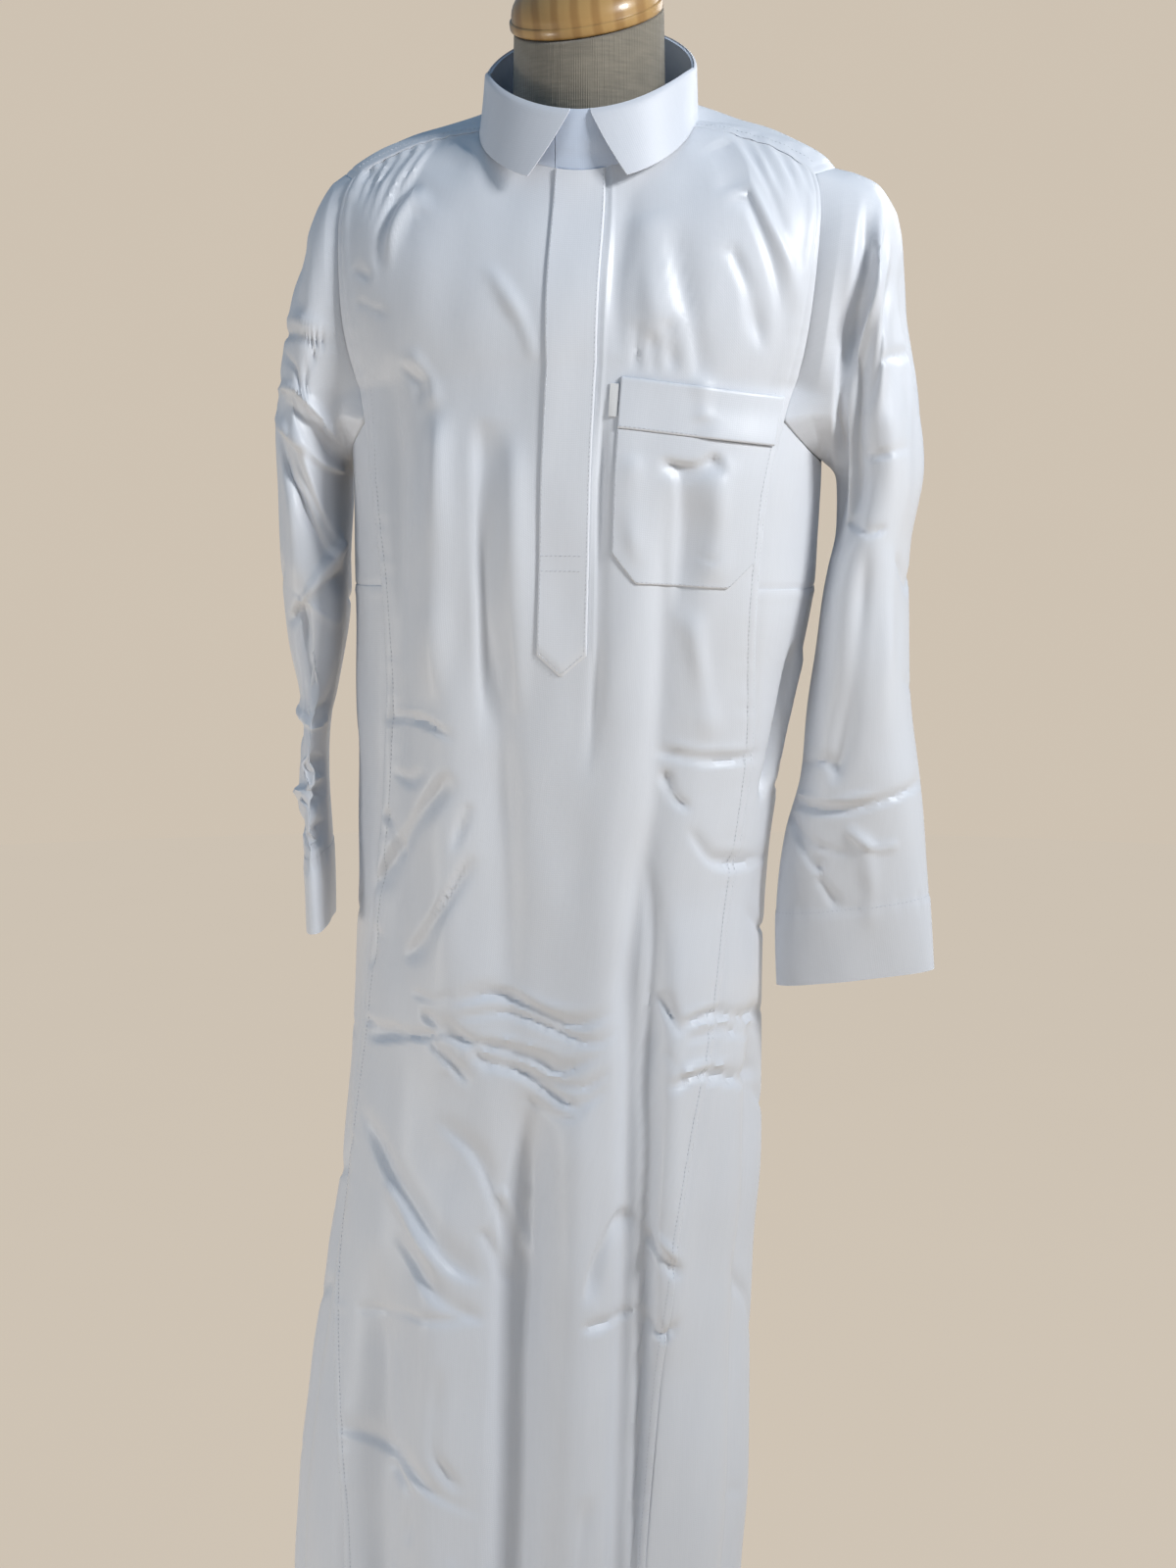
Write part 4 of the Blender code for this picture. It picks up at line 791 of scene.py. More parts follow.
def add_object(name: str, mesh: bpy.types.Mesh) -> Thing:
    """Link a mesh as a new object and make it the active one."""
    thing = bpy.data.objects.new(name, mesh)
    bpy.context.scene.collection.objects.link(thing)
    activate(thing)
    return thing


def deselect() -> None:
    """Deselect every object."""
    bpy.ops.object.select_all(action="DESELECT")


def edit_all() -> None:
    """Enter edit mode with the whole mesh selected."""
    bpy.ops.object.mode_set(mode="EDIT")
    bpy.ops.mesh.select_all(action="SELECT")


def face_outwards() -> None:
    """Turn the selected faces outwards and leave edit mode."""
    bpy.ops.mesh.normals_make_consistent(inside=False)
    bpy.ops.object.mode_set(mode="OBJECT")


def activate(thing: Thing) -> None:
    """Select one object alone."""
    deselect()
    thing.select_set(True)
    bpy.context.view_layer.objects.active = thing


@dataclass
class Cloth:
    """A piece of cloth made from a grid of points and given its thickness.

    Attributes:
        name: Name of the piece.
        node: Solid that it replaces.
        material: Cloth that it is cut from.
        slot: Finish of the record that it takes; not used.
        wall: Thickness in metres.
        flat: Width and length of its cut in metres; not used.
        area: Area of its cut in square metres; not used.
        held: How the cloth is held; not used.
        rests_on: What it lies on or hangs from; not used.
    """

    name: str
    node: str
    material: Material
    slot: str = "robe_cloth"
    wall: float = 0.0010
    flat: tuple[float, float] = (0.1, 0.1)
    area: float | None = None
    held: str = "draped"
    rests_on: tuple[str, ...] = ("form_torso",)

    def make(self, points: Array, closed: bool = False, outward: bool = False) -> Thing:
        """Build the piece.

        Args:
            points: Grid of its face, rows by columns.
            closed: True for a tube.
            outward: True where the wall grows outwards from the grid.

        Returns:
            The finished object, riding on the root.
        """
        closing = np.concatenate((points, points[:, :1]), axis=1) if closed else points
        cut = cut_of(closing)
        mesh = new_mesh(self.name, points, closed, cut)
        thing = add_object(self.name, mesh)
        mesh.materials.append(self.material)
        shell = thing.modifiers.new("wall", "SOLIDIFY")
        shell.thickness = self.wall
        shell.offset = 1.0 if outward else -1.0
        shell.use_even_offset = False
        bpy.ops.object.modifier_apply(modifier=shell.name)
        bpy.ops.object.shade_smooth_by_angle(angle=CLOTH_SMOOTH_ANGLE)
        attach(thing, "root")
        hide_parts(self.node)
        list(self.rests_on)
        width = np.linalg.norm(np.diff(closing, axis=1), axis=-1).sum(axis=1).max()
        length = np.linalg.norm(np.diff(closing, axis=0), axis=-1).sum(axis=0).max()
        count = len(thing.data.polygons)
        LOG.info("%s: %d faces, %.3f by %.3f m laid flat", self.name, count, width, length)
        return thing


def row(places: list[float]) -> Array:
    """Places along the rows of a grid."""
    return np.array(places)[None, :]


def column(places: list[float]) -> Array:
    """Places down the columns of a grid."""
    return np.array(places)[:, None]


def even(first: float, last: float, step: float) -> list[float]:
    """Even places from first to last, about a step apart."""
    count = max(int(math.ceil(abs(last - first) / step)), 1)
    return list(np.linspace(first, last, count + 1))


SEAM_PLACES = (0.0006, 0.0016, 0.0032, 0.0052, 0.0060, 0.0068, 0.0088)
TRIM_PLACES = (0.0003, 0.0008, 0.0018)


def edged(first: float, last: float, step: float, dense: tuple[float, ...] = SEAM_PLACES) -> list[float]:
    """Places from first to last that crowd at both ends, for a folded edge and its stitch line.

    Args:
        first: First place.
        last: Last place.
        step: Distance between the places in the middle.
        dense: Distances from each end of the crowded places.

    Returns:
        All places, in order.
    """
    sign = 1 if last > first else -1
    head = [first + sign * gap for gap in dense]
    tail = [last - sign * gap for gap in reversed(dense)]
    return [first] + head + even(head[-1], tail[0], step)[1:-1] + tail + [last]


def seam_dip(distance: Array) -> Array:
    """Rounded fold at a lapped edge and the groove that its stitches pull in."""
    fold = -0.0006 * np.clip(1 - distance / 0.0012, 0, 1) ** 2
    groove = -0.00045 * np.exp(-((distance - 0.006) / 0.0009) ** 2)
    return fold + groove


def puckers(distance: Array, along: Array) -> Array:
    """Small uneven puckers that stitching draws across a seam."""
    beat = np.sin(TURN * along / 0.021) + 0.6 * np.sin(TURN * along / 0.0134 + 1.1)
    slow = 0.6 + 0.4 * np.sin(TURN * along / 0.13)
    return 0.00022 * beat * slow * np.exp(-((distance - 0.007) / 0.008) ** 2)


@dataclass
class Panels:
    """Front, back, yoke and side pieces of the robe."""

    material: Material
    lap: float = 0.0011
    step: float = 0.0036
    back_step: float = 0.0050
    shoulder_dip: float = 0.0020
    chest_dip: float = 0.0120
    ridge_offset: float = 0.0250
    ridge_height: float = 0.0007
    hem_line: float = 0.025
    tuck_depth: float = 0.0016
    edge_depth: float = 0.0009
    back_half_width: float = 0.20
    slit_low_z: float = 0.985
    slit_top_z: float = 1.122
    slit_depth: float = 0.016
    lip_height: float = 0.005
    gore_seam_gap: float = 0.0005

    yoke_grid: Array | None = None

    def build(self) -> None:
        """Build all panels."""
        self.add_front()
        self.add_back()
        self.add_yoke()
        for side, label in SIDES:
            self.add_side(side, label)

    def front_places(self, offset: Array, level: Array) -> tuple[Array, Array, Array]:
        """Plain surface of the front panel and its relief.

        Args:
            offset: Distance from the middle line, a row of columns.
            level: Level, a column of rows.

        Returns:
            Points, the height of the relief at each, and their angles.
        """
        offset, level = np.broadcast_arrays(offset, level)
        angle, place = ROBE.front_station(offset, level)
        base = ROBE.point(angle, place)
        faces = ROBE.faces(base, angle)
        up = base[..., 2]
        calm = 1 - 0.75 * smooth((0.026 - np.abs(offset)) / 0.008) * smooth((up - 1.09) / 0.03)
        on_pocket = smooth((offset - 0.036) / 0.006) * smooth((up - 1.165) / 0.01)
        on_pocket = on_pocket * smooth((1.336 - up) / 0.006)
        calm = calm * (0.3 + 0.7 * smooth(level / 0.05))
        high = relief(BODY_CREASES, faces) * calm * (1 - 0.8 * on_pocket) + waves(base)
        high = high + relief(POCKET_CREASES, faces) * smooth((offset - 0.030) / 0.01)
        deepest = mix(self.shoulder_dip, self.chest_dip, smooth((1.525 - up) / 0.075))
        high = np.where(high < 0, deepest * np.tanh(high / deepest), high)
        ridge = np.exp(-((offset - self.ridge_offset) / 0.0016) ** 2) * smooth((up - 1.10) / 0.02)
        return base, high + self.ridge_height * ridge, angle

    def on_front(self, offset: Array, level: Array, lift: Array = 0.0) -> Array:
        """Grid on the creased front panel, moved out by a lift."""
        base, high, _ = self.front_places(offset, level)
        return base + normals_of(base) * (high + lift)[..., None]

    def line_on_front(self, offset: Array, level: Array, lift: float) -> Array:
        """Line on the creased front panel, moved out by a lift."""
        base, high, _ = self.front_places(offset, level)
        near = 0.0008
        ends = [ROBE.point(*ROBE.front_station(offset + a, level + b))
                for a, b in ((0, near), (0, -near), (near, 0), (-near, 0))]
        normal = np.cross(ends[0] - ends[1], ends[2] - ends[3])
        normal /= np.linalg.norm(normal, axis=-1, keepdims=True)
        return base + normal * (high + lift)[..., None]

    def front_levels(self) -> Array:
        """Levels of the front panel's rows."""
        return np.array(even(0.0, 1.0, 0.0165) + even(1.0, ROBE.level_of(ROBE.hem_z), self.step)[1:])

    def add_front(self) -> Thing:
        """Front panel, from the yoke and neck seams to the hem."""
        right, left = -ROBE.front_reach(-1), ROBE.front_reach(1)
        columns = edged(right, left, self.step)
        columns += [0.0222, 0.0238, 0.0250, 0.0262, 0.0278, -0.0205, 0.0205]
        offset = row(sorted(columns))
        level = self.front_levels()[:, None]
        base, high, angle = self.front_places(offset, level)
        normal = normals_of(base)
        edge = np.minimum(offset - right, left - offset)
        strip = np.interp(level, (0.96, 1.08), (0.0165, 0.0072))
        raised = np.interp(level, (0.96, 1.04), (0.0010, 0.0004))
        high = high + seam_dip(edge) + puckers(edge, base[..., 2])
        high = high + raised * smooth((strip - edge) / 0.0012)
        low = base[..., 2] - ROBE.hem_z
        high = high - 0.0004 * np.exp(-((low - self.hem_line) / 0.002) ** 2)
        points = base + normal * high[..., None]
        top = points[0].copy()
        beyond = np.abs(offset[0]) > ROBE.neck_reach()
        turned = ROBE.point(angle[0] + np.sign(offset[0]) * 0.05, ROBE.front_station(offset, level)[1][0])
        inside = ROBE.neck_point(angle[0], 0.004, -0.0022)
        tuck = np.where(beyond[:, None], turned - normal[0] * self.tuck_depth, inside)
        points[0] = np.where(beyond[:, None], top - normal[0] * self.edge_depth, top)
        points = np.concatenate((tuck[None], points))
        piece = Cloth("front_cloth", "front_panel", self.material, flat=(0.42, 1.42), area=0.52)
        return piece.make(points)

    def add_back(self) -> Thing:
        """Back panel, from the yoke seam to the hem."""
        crowded = (0.003, 0.009, 0.018, 0.029, 0.034, 0.039, 0.050)
        across = row(edged(1.0, -1.0, self.back_step / self.back_half_width, crowded))
        below = even(1.0, ROBE.level_of(ROBE.hem_z), self.back_step)[1:]
        level = column(even(0.0, 1.0, 0.030) + below)
        height = ROBE.cap_z - np.maximum(level - 1, 0)
        share = mix(ROBE.back_corner_share, 1.0, level)
        edge_left = np.where(level > 1, ROBE.seam_angle(1, height, B), ROBE.armhole_angle(1, share, B))
        edge_right = np.where(level > 1, ROBE.seam_angle(-1, height, B), ROBE.armhole_angle(-1, share, B))
        side = np.where(across >= 0, 1.0, -1.0)
        edge = np.where(across >= 0, edge_left, edge_right)
        angle = side * (math.pi - (math.pi - np.abs(edge) - 0.001) * np.abs(across))
        place = np.where(level > 1, level, mix(ROBE.back_seam_share(across) + 0.003, 1.0, level))
        base = ROBE.point(angle, place)
        normal = normals_of(base)
        away = (1 - np.abs(across)) * self.back_half_width
        high = relief(BODY_CREASES, ROBE.faces(base, angle)) + waves(base)
        high = high + seam_dip(away) + puckers(away, base[..., 2])
        points = base + normal * high[..., None]
        tuck = ROBE.point(angle[0], place[0] - 0.03) - normal[0] * self.tuck_depth
        points[0] = points[0] - normal[0] * self.edge_depth
        points = np.concatenate((tuck[None], points))
        piece = Cloth("back_cloth", "back_panel", self.material, flat=(0.42, 1.42), area=0.52)
        return piece.make(points)

    def add_yoke(self) -> Thing:
        """Yoke over the shoulders, whose folded edges lie on the panels."""
        half = edged(ROBE.yoke_angle - 0.5, 180.0, 1.6, (0.4, 1.1, 2.2, 3.4, 4.0, 4.6, 6.0))
        half = [turn for turn in half if turn < 176] + [180.0]
        turns = row(half + [360 - turn for turn in reversed(half[:-1])])
        outer_rows = [0.925, 0.935, 0.945, 0.96, 0.98, 0.992, 1.0]
        shares = column([0.0, 0.006] + even(0.02, 0.90, 0.028) + outer_rows)
        folded = np.minimum(turns, 360 - turns)
        place = ROBE.yoke_edge(folded) * shares
        angle = np.radians(turns) + 0 * shares
        base = ROBE.point(angle, place)
        normal = normals_of(base)
        reach = np.linalg.norm(base[..., :2], axis=-1)
        front_gap = (folded - ROBE.yoke_angle + 0.5) * math.radians(1) * reach
        back_gap = (1 - shares) * 0.10 + 0 * turns
        edge = np.minimum(front_gap, back_gap)
        high = relief(BODY_CREASES, ROBE.faces(base, angle)) * 0.3 + 0.6 * waves(base)
        outer = smooth((shares - 0.90) / 0.10) * smooth((ROBE.back_corner_angle - folded) / 10)
        high = high * (1 - outer) + 0.0009 + seam_dip(edge) - 0.0008 * outer
        self.yoke_grid = base + normal * (high + 0.0001)[..., None]
        piece = Cloth("yoke_cloth", "yoke", self.material, flat=(0.47, 0.16), area=0.058)
        return piece.make(base + normal * high[..., None])

    def add_side(self, side: int, label: str) -> None:
        """Gusset and side gore of one side, tucked under the panels' lapped edges."""
        shares = row([-0.045] + edged(0.0, 1.0, 0.016, (0.01, 0.025, 0.04)) + [1.045])
        hidden = np.where((shares < 0) | (shares > 1), 1.0, 0.0)
        near = np.exp(-(np.minimum(np.abs(shares), np.abs(shares - 1)) / 0.03) ** 2)
        sink = -self.lap * near - 0.0006 * hidden
        self.add_gusset(side, label, shares, sink)
        self.add_gore(side, label, shares, sink)

    def add_gusset(self, side: int, label: str, shares: Array, sink: Array) -> None:
        """Underarm piece, which hangs from the armhole.

        Args:
            side: 1 for the wearer's left, -1 for the right.
            label: Word for its name.
            shares: Places across it, from the front seam to the back seam.
            sink: Depth of its edges under the panels.
        """
        low_z, top_z = ROBE.gusset_low_z, ROBE.gusset_top_z
        heights = column(even(top_z, low_z, 0.005) + [low_z - 0.006])
        rise = (heights - low_z) / (top_z - low_z)
        height = mix(low_z, ROBE.gusset_top(np.clip(shares, 0, 1)), rise)
        angle = ROBE.side_angle(side, shares, height)
        base = ROBE.point(angle, ROBE.level_of(height))
        high = relief(BODY_CREASES, ROBE.faces(base, angle)) + waves(base) + sink
        high = high - self.lap * np.clip(1 - (heights - low_z) / 0.004, 0, 1)
        piece = Cloth("gusset_cloth_" + label, "gusset_" + label, self.material,
                      flat=(0.17, 0.16), area=0.022)
        self.make_side(piece, base, high, side)

    def add_gore(self, side: int, label: str, shares: Array, sink: Array) -> None:
        """Side gore; the wearer's left one has the side pocket's slit and lip.

        Args:
            side: 1 for the wearer's left, -1 for the right.
            label: Word for its name.
            shares: Places across it, from the front seam to the back seam.
            sink: Depth of its edges under the panels.
        """
        top_z = ROBE.gusset_low_z + self.gore_seam_gap
        heights = column(even(top_z, ROBE.hem_z, self.back_step))
        angle = ROBE.side_angle(side, shares, heights)
        base = ROBE.point(angle, ROBE.level_of(heights))
        high = relief(BODY_CREASES, ROBE.faces(base, angle)) + waves(base) + sink
        slit = smooth((heights - self.slit_low_z) / 0.03) * smooth((self.slit_top_z - heights) / 0.02)
        slit = slit * (side > 0)
        lip = shares - mix(0.12, 0.32, (heights - self.slit_low_z) / (self.slit_top_z - self.slit_low_z))
        groove = self.slit_depth * np.exp(-(lip / 0.032) ** 2)
        high = high - slit * (groove - self.lip_height * np.exp(-((lip - 0.11) / 0.06) ** 2))
        from_top = top_z - heights
        high = high + 1.6 * seam_dip(from_top) + 0.0008 * smooth((0.0095 - from_top) / 0.002)
        piece = Cloth("side_gore_cloth_" + label, "side_gore_" + label, self.material,
                      flat=(0.30, 1.05), area=0.22)
        self.make_side(piece, base, high, side)

    def make_side(self, piece: Cloth, base: Array, high: Array, side: int) -> None:
        """Build a side piece, its face outwards."""
        grid = base + self.outward(base, side) * high[..., None]
        piece.make(grid if side > 0 else grid[:, ::-1])

    @staticmethod
    def outward(base: Array, side: int) -> Array:
        """Normals of a side piece that point away from the robe."""
        normal = normals_of(base)
        return normal * (1.0 if side > 0 else -1.0)


@dataclass
class Sleeves:
    """Two set-in sleeves with deep hems."""

    material: Material
    columns: int = 132
    rows: int = 200
    # outer x, outer z, inner x, inner z, middle y, half depth, turn at the front
    left_rows: tuple = (
        (0.226, 1.49, 0.196, 1.258, 0, 0.08, 0),
        (0.242, 1.478, 0.2, 1.255, 0, 0.081, 0),
        (0.252, 1.448, 0.203, 1.249, 0, 0.081, 0),
        (0.256, 1.41, 0.204, 1.238, 0, 0.08, 0),
        (0.26, 1.362, 0.204, 1.222, 0, 0.078, 0),
        (0.269, 1.31, 0.203, 1.2, 0, 0.074, 0),
        (0.274, 1.255, 0.198, 1.175, 0, 0.072, 0),
        (0.264, 1.195, 0.193, 1.145, 0, 0.074, 0),
        (0.264, 1.13, 0.188, 1.102, -0.002, 0.073, 0),
        (0.268, 1.07, 0.182, 1.058, -0.006, 0.066, 0),
        (0.275, 1.01, 0.176, 1.003, -0.01, 0.056, 0),
        (0.281, 0.96, 0.165, 0.955, -0.014, 0.044, 0),
        (0.285, 0.91, 0.159, 0.9, -0.018, 0.031, 0),
        (0.29, 0.845, 0.161, 0.828, -0.02, 0.019, 0),
    )
    right_rows: tuple = (
        (-0.22, 1.484, -0.203, 1.258, 0, 0.08, 0),
        (-0.229, 1.462, -0.2045, 1.255, 0, 0.081, 0),
        (-0.239, 1.426, -0.2055, 1.249, 0, 0.081, 0),
        (-0.248, 1.385, -0.2065, 1.24, 0, 0.08, 0),
        (-0.256, 1.34, -0.2075, 1.226, 0, 0.079, 0.02),
        (-0.262, 1.29, -0.208, 1.205, 0, 0.078, 0.04),
        (-0.2605, 1.235, -0.2085, 1.178, 0, 0.079, 0.06),
        (-0.26, 1.165, -0.209, 1.145, 0, 0.082, 0.08),
        (-0.255, 1.115, -0.212, 1.108, -0.003, 0.08, 0.1),
        (-0.245, 1.072, -0.219, 1.064, -0.006, 0.076, 0.12),
        (-0.2405, 1.03, -0.226, 1.028, -0.01, 0.073, 0.14),
        (-0.242, 0.985, -0.225, 0.984, -0.014, 0.071, 0.14),
        (-0.242, 0.93, -0.222, 0.928, -0.018, 0.069, 0.14),
        (-0.2385, 0.872, -0.221, 0.874, -0.02, 0.068, 0.14),
    )
    # side, angle at top, share at top, angle at foot, share at foot, half width in degrees, depth
    large_folds: tuple = (
        (1, 92, 0.03, 112, 0.42, 17, -0.016),
        (1, 58, 0.1, 66, 0.44, 16, 0.007),
        (1, 30, 0.16, 28, 0.5, 14, -0.005),
        (1, 255, 0.06, 240, 0.46, 20, -0.012),
        (-1, 62, 0.36, 128, 0.46, 16, -0.009),
        (-1, 96, 0.3, 150, 0.4, 16, 0.006),
        (-1, 88, 0.56, 74, 0.74, 22, -0.01),
        (-1, 255, 0.1, 245, 0.5, 22, -0.012),
    )
    hem_depth: float = 0.062
    under_gap: float = 0.0010
    sink: float = 0.0007
    thread_lift: float = 0.0002

    hems: dict[str, tuple[Array, Array]] = field(default_factory=dict)

    @staticmethod
    def armhole(side: int) -> Array:
        """Armhole of one side, from the shoulder forward, down, under the arm and up the back."""
        turns = np.linspace(90, ROBE.yoke_angle, 10)[:-1]
        parts = [ROBE.point(np.radians(turns) * side, ROBE.yoke_edge(turns))]
        share = np.linspace(ROBE.armhole_share, 1.0, 30)
        parts.append(ROBE.point(ROBE.armhole_angle(side, share, F), share))
        heights = np.array((1.330, 1.322, 1.314))
        parts.append(ROBE.point(ROBE.seam_angle(side, heights, F), ROBE.level_of(heights)))
        share = np.linspace(0, 1, 32)
        heights_under = ROBE.gusset_top(share)
        parts.append(ROBE.point(ROBE.side_angle(side, share, heights_under), ROBE.level_of(heights_under)))
        heights = heights[::-1]
        parts.append(ROBE.point(ROBE.seam_angle(side, heights, B), ROBE.level_of(heights)))
        share = np.linspace(1.0, ROBE.back_corner_share, 26)
        parts.append(ROBE.point(ROBE.armhole_angle(side, share, B), share))
        turns = np.linspace(ROBE.back_corner_angle, 90, 16)[1:-1]
        parts.append(ROBE.point(np.radians(turns) * side, ROBE.yoke_edge(turns)))
        return np.concatenate(parts)

    @staticmethod
    def resampled(loop: Array, count: int) -> Array:
        """Even points round a closed loop."""
        closed = np.vstack([loop, loop[:1]])
        lengths = np.concatenate([[0.0], np.cumsum(np.linalg.norm(np.diff(closed, axis=0), axis=1))])
        places = np.linspace(0.0, lengths[-1], count, endpoint=False)
        return np.stack([np.interp(places, lengths, closed[:, axis]) for axis in range(3)], axis=-1)

    def table_point(self, side: int, degrees: Array, share: Array) -> Array:
        """Point of a sleeve's table form; 0 degrees is the outer edge and 90 the front."""
        table = np.array(self.left_rows if side > 0 else self.right_rows)
        place = share * (len(table) - 1)
        index = np.minimum(place.astype(int), len(table) - 2)
        rows = np.moveaxis(blend_rows(table, index, place - index), -1, 0)
        out_x, out_z, in_x, in_z, mid_y, half_depth, skew = rows
        fold = np.zeros(degrees.shape)
        for which, top_angle, top, foot_angle, foot, half_width, depth in self.large_folds:
            if which != side:
                continue
            middle = mix(top_angle, foot_angle, (share - top) / (foot - top))
            fade = smooth((share - top + 0.06) / 0.10) * smooth((foot + 0.06 - share) / 0.10)
            away = (degrees - middle + 180) % 360 - 180
            fold += depth * fade * np.exp(-(away / half_width) ** 2)
        grow = 1 + fold / half_depth
        turn = np.radians(degrees)
        cosine = np.sign(np.cos(turn)) * np.abs(np.cos(turn)) ** 0.9 * grow
        sine = np.sign(np.sin(turn)) * np.abs(np.sin(turn)) ** 0.9 * grow
        x = (out_x + in_x) / 2 + (out_x - in_x) / 2 * cosine + skew * half_depth * sine
        z = (out_z + in_z) / 2 + (out_z - in_z) / 2 * cosine
        return np.stack((x, mid_y - half_depth * sine, z), axis=-1)

    def surface(self, side: int) -> tuple[Array, Array]:
        """Grid of one sleeve without its small creases, and the turn of each point."""
        loop = self.resampled(self.armhole(side), self.columns)
        centre = loop.mean(axis=0)
        away = loop - centre
        inward = -away / np.linalg.norm(away, axis=1, keepdims=True)
        upper = smooth((loop[:, [2]] - ROBE.gusset_top_z) / 0.03) * smooth((1.47 - loop[:, [2]]) / 0.03)
        out = loop + np.array((side * 0.0006, 0.0, 0.0)) + inward * self.sink * upper
        under = loop[:, 2] < ROBE.gusset_top_z - 0.014
        out[under] = loop[under] + np.array((side * self.under_gap, 0.0, self.under_gap))
        steps = column([0.0, 0.03, 0.08, 0.16, 0.26, 0.36] + even(0.46, 17.0, 17 / self.rows))
        share = np.maximum(steps - 1, 0) / 16
        angle = np.degrees(np.arctan2(-away[:, 1] / 0.080, away[:, 2] / 0.118)) % 360
        free = np.arange(self.columns) * 360.0 / self.columns
        turn = angle + ((free - angle + 180) % 360 - 180) * smooth(share / 0.35)
        target = self.table_point(side, turn, share + 0 * turn)
        blend = np.interp(steps, (0, 0.5, 1, 2, 3), (0.0, 0.30, 0.55, 0.85, 1.0))[..., None]
        return mix(out[None], target, blend), turn

    def add(self, side: int, label: str) -> Thing:
        """Build one sleeve.

        Args:
            side: 1 for the wearer's left, -1 for the right.
            label: Word for its name.

        Returns:
            The sleeve.
        """
        base, turn = self.surface(side)
        normal = normals_of(base, closed=True)
        if side > 0:
            normal = -normal
        x, y, z = np.moveaxis(base, -1, 0)
        angle = np.radians(turn)
        faces = {
            F: (x, z, smooth((np.sin(angle) - 0.05) / 0.3)),
            B: (x, z, smooth((-np.sin(angle) - 0.05) / 0.3)),
            L if side > 0 else R: (y, z, smooth((np.cos(angle) - 0.15) / 0.35)),
        }
        creases = LEFT_SLEEVE_CREASES if side > 0 else RIGHT_SLEEVE_CREASES
        down = np.linalg.norm(np.diff(base, axis=0), axis=-1).cumsum(axis=0)
        down = np.concatenate((np.zeros((1, down.shape[1])), down))
        from_hem = down[-1] - down
        calm = smooth(down / 0.03) * (0.5 + 0.5 * smooth((from_hem - 0.4 * self.hem_depth) / self.hem_depth))
        high = relief(creases, faces) * calm + waves(base) * smooth(down / 0.03)
        high = high - 0.0005 * np.exp(-((from_hem - self.hem_depth) / 0.0022) ** 2)
        high = high + 0.0008 * (from_hem < self.hem_depth)
        high = high + puckers(from_hem - self.hem_depth + 0.007, turn / 360 * 0.4) * 1.6
        points = base + normal * high[..., None]
        self.hems[label] = (points + normal * self.thread_lift, from_hem)
        centre = points[0].mean(axis=0)
        tuck = points[0] + (centre - points[0]) * 0.02 - np.array((side * 0.006, 0, 0))
        points = np.concatenate((tuck[None], points))
        if side > 0:
            points = points[:, ::-1]
        piece = Cloth("sleeve_cloth_" + label, "sleeve_" + label, self.material,
                      flat=(0.50, 0.66), area=0.24, held="hung")
        return piece.make(points, closed=True)


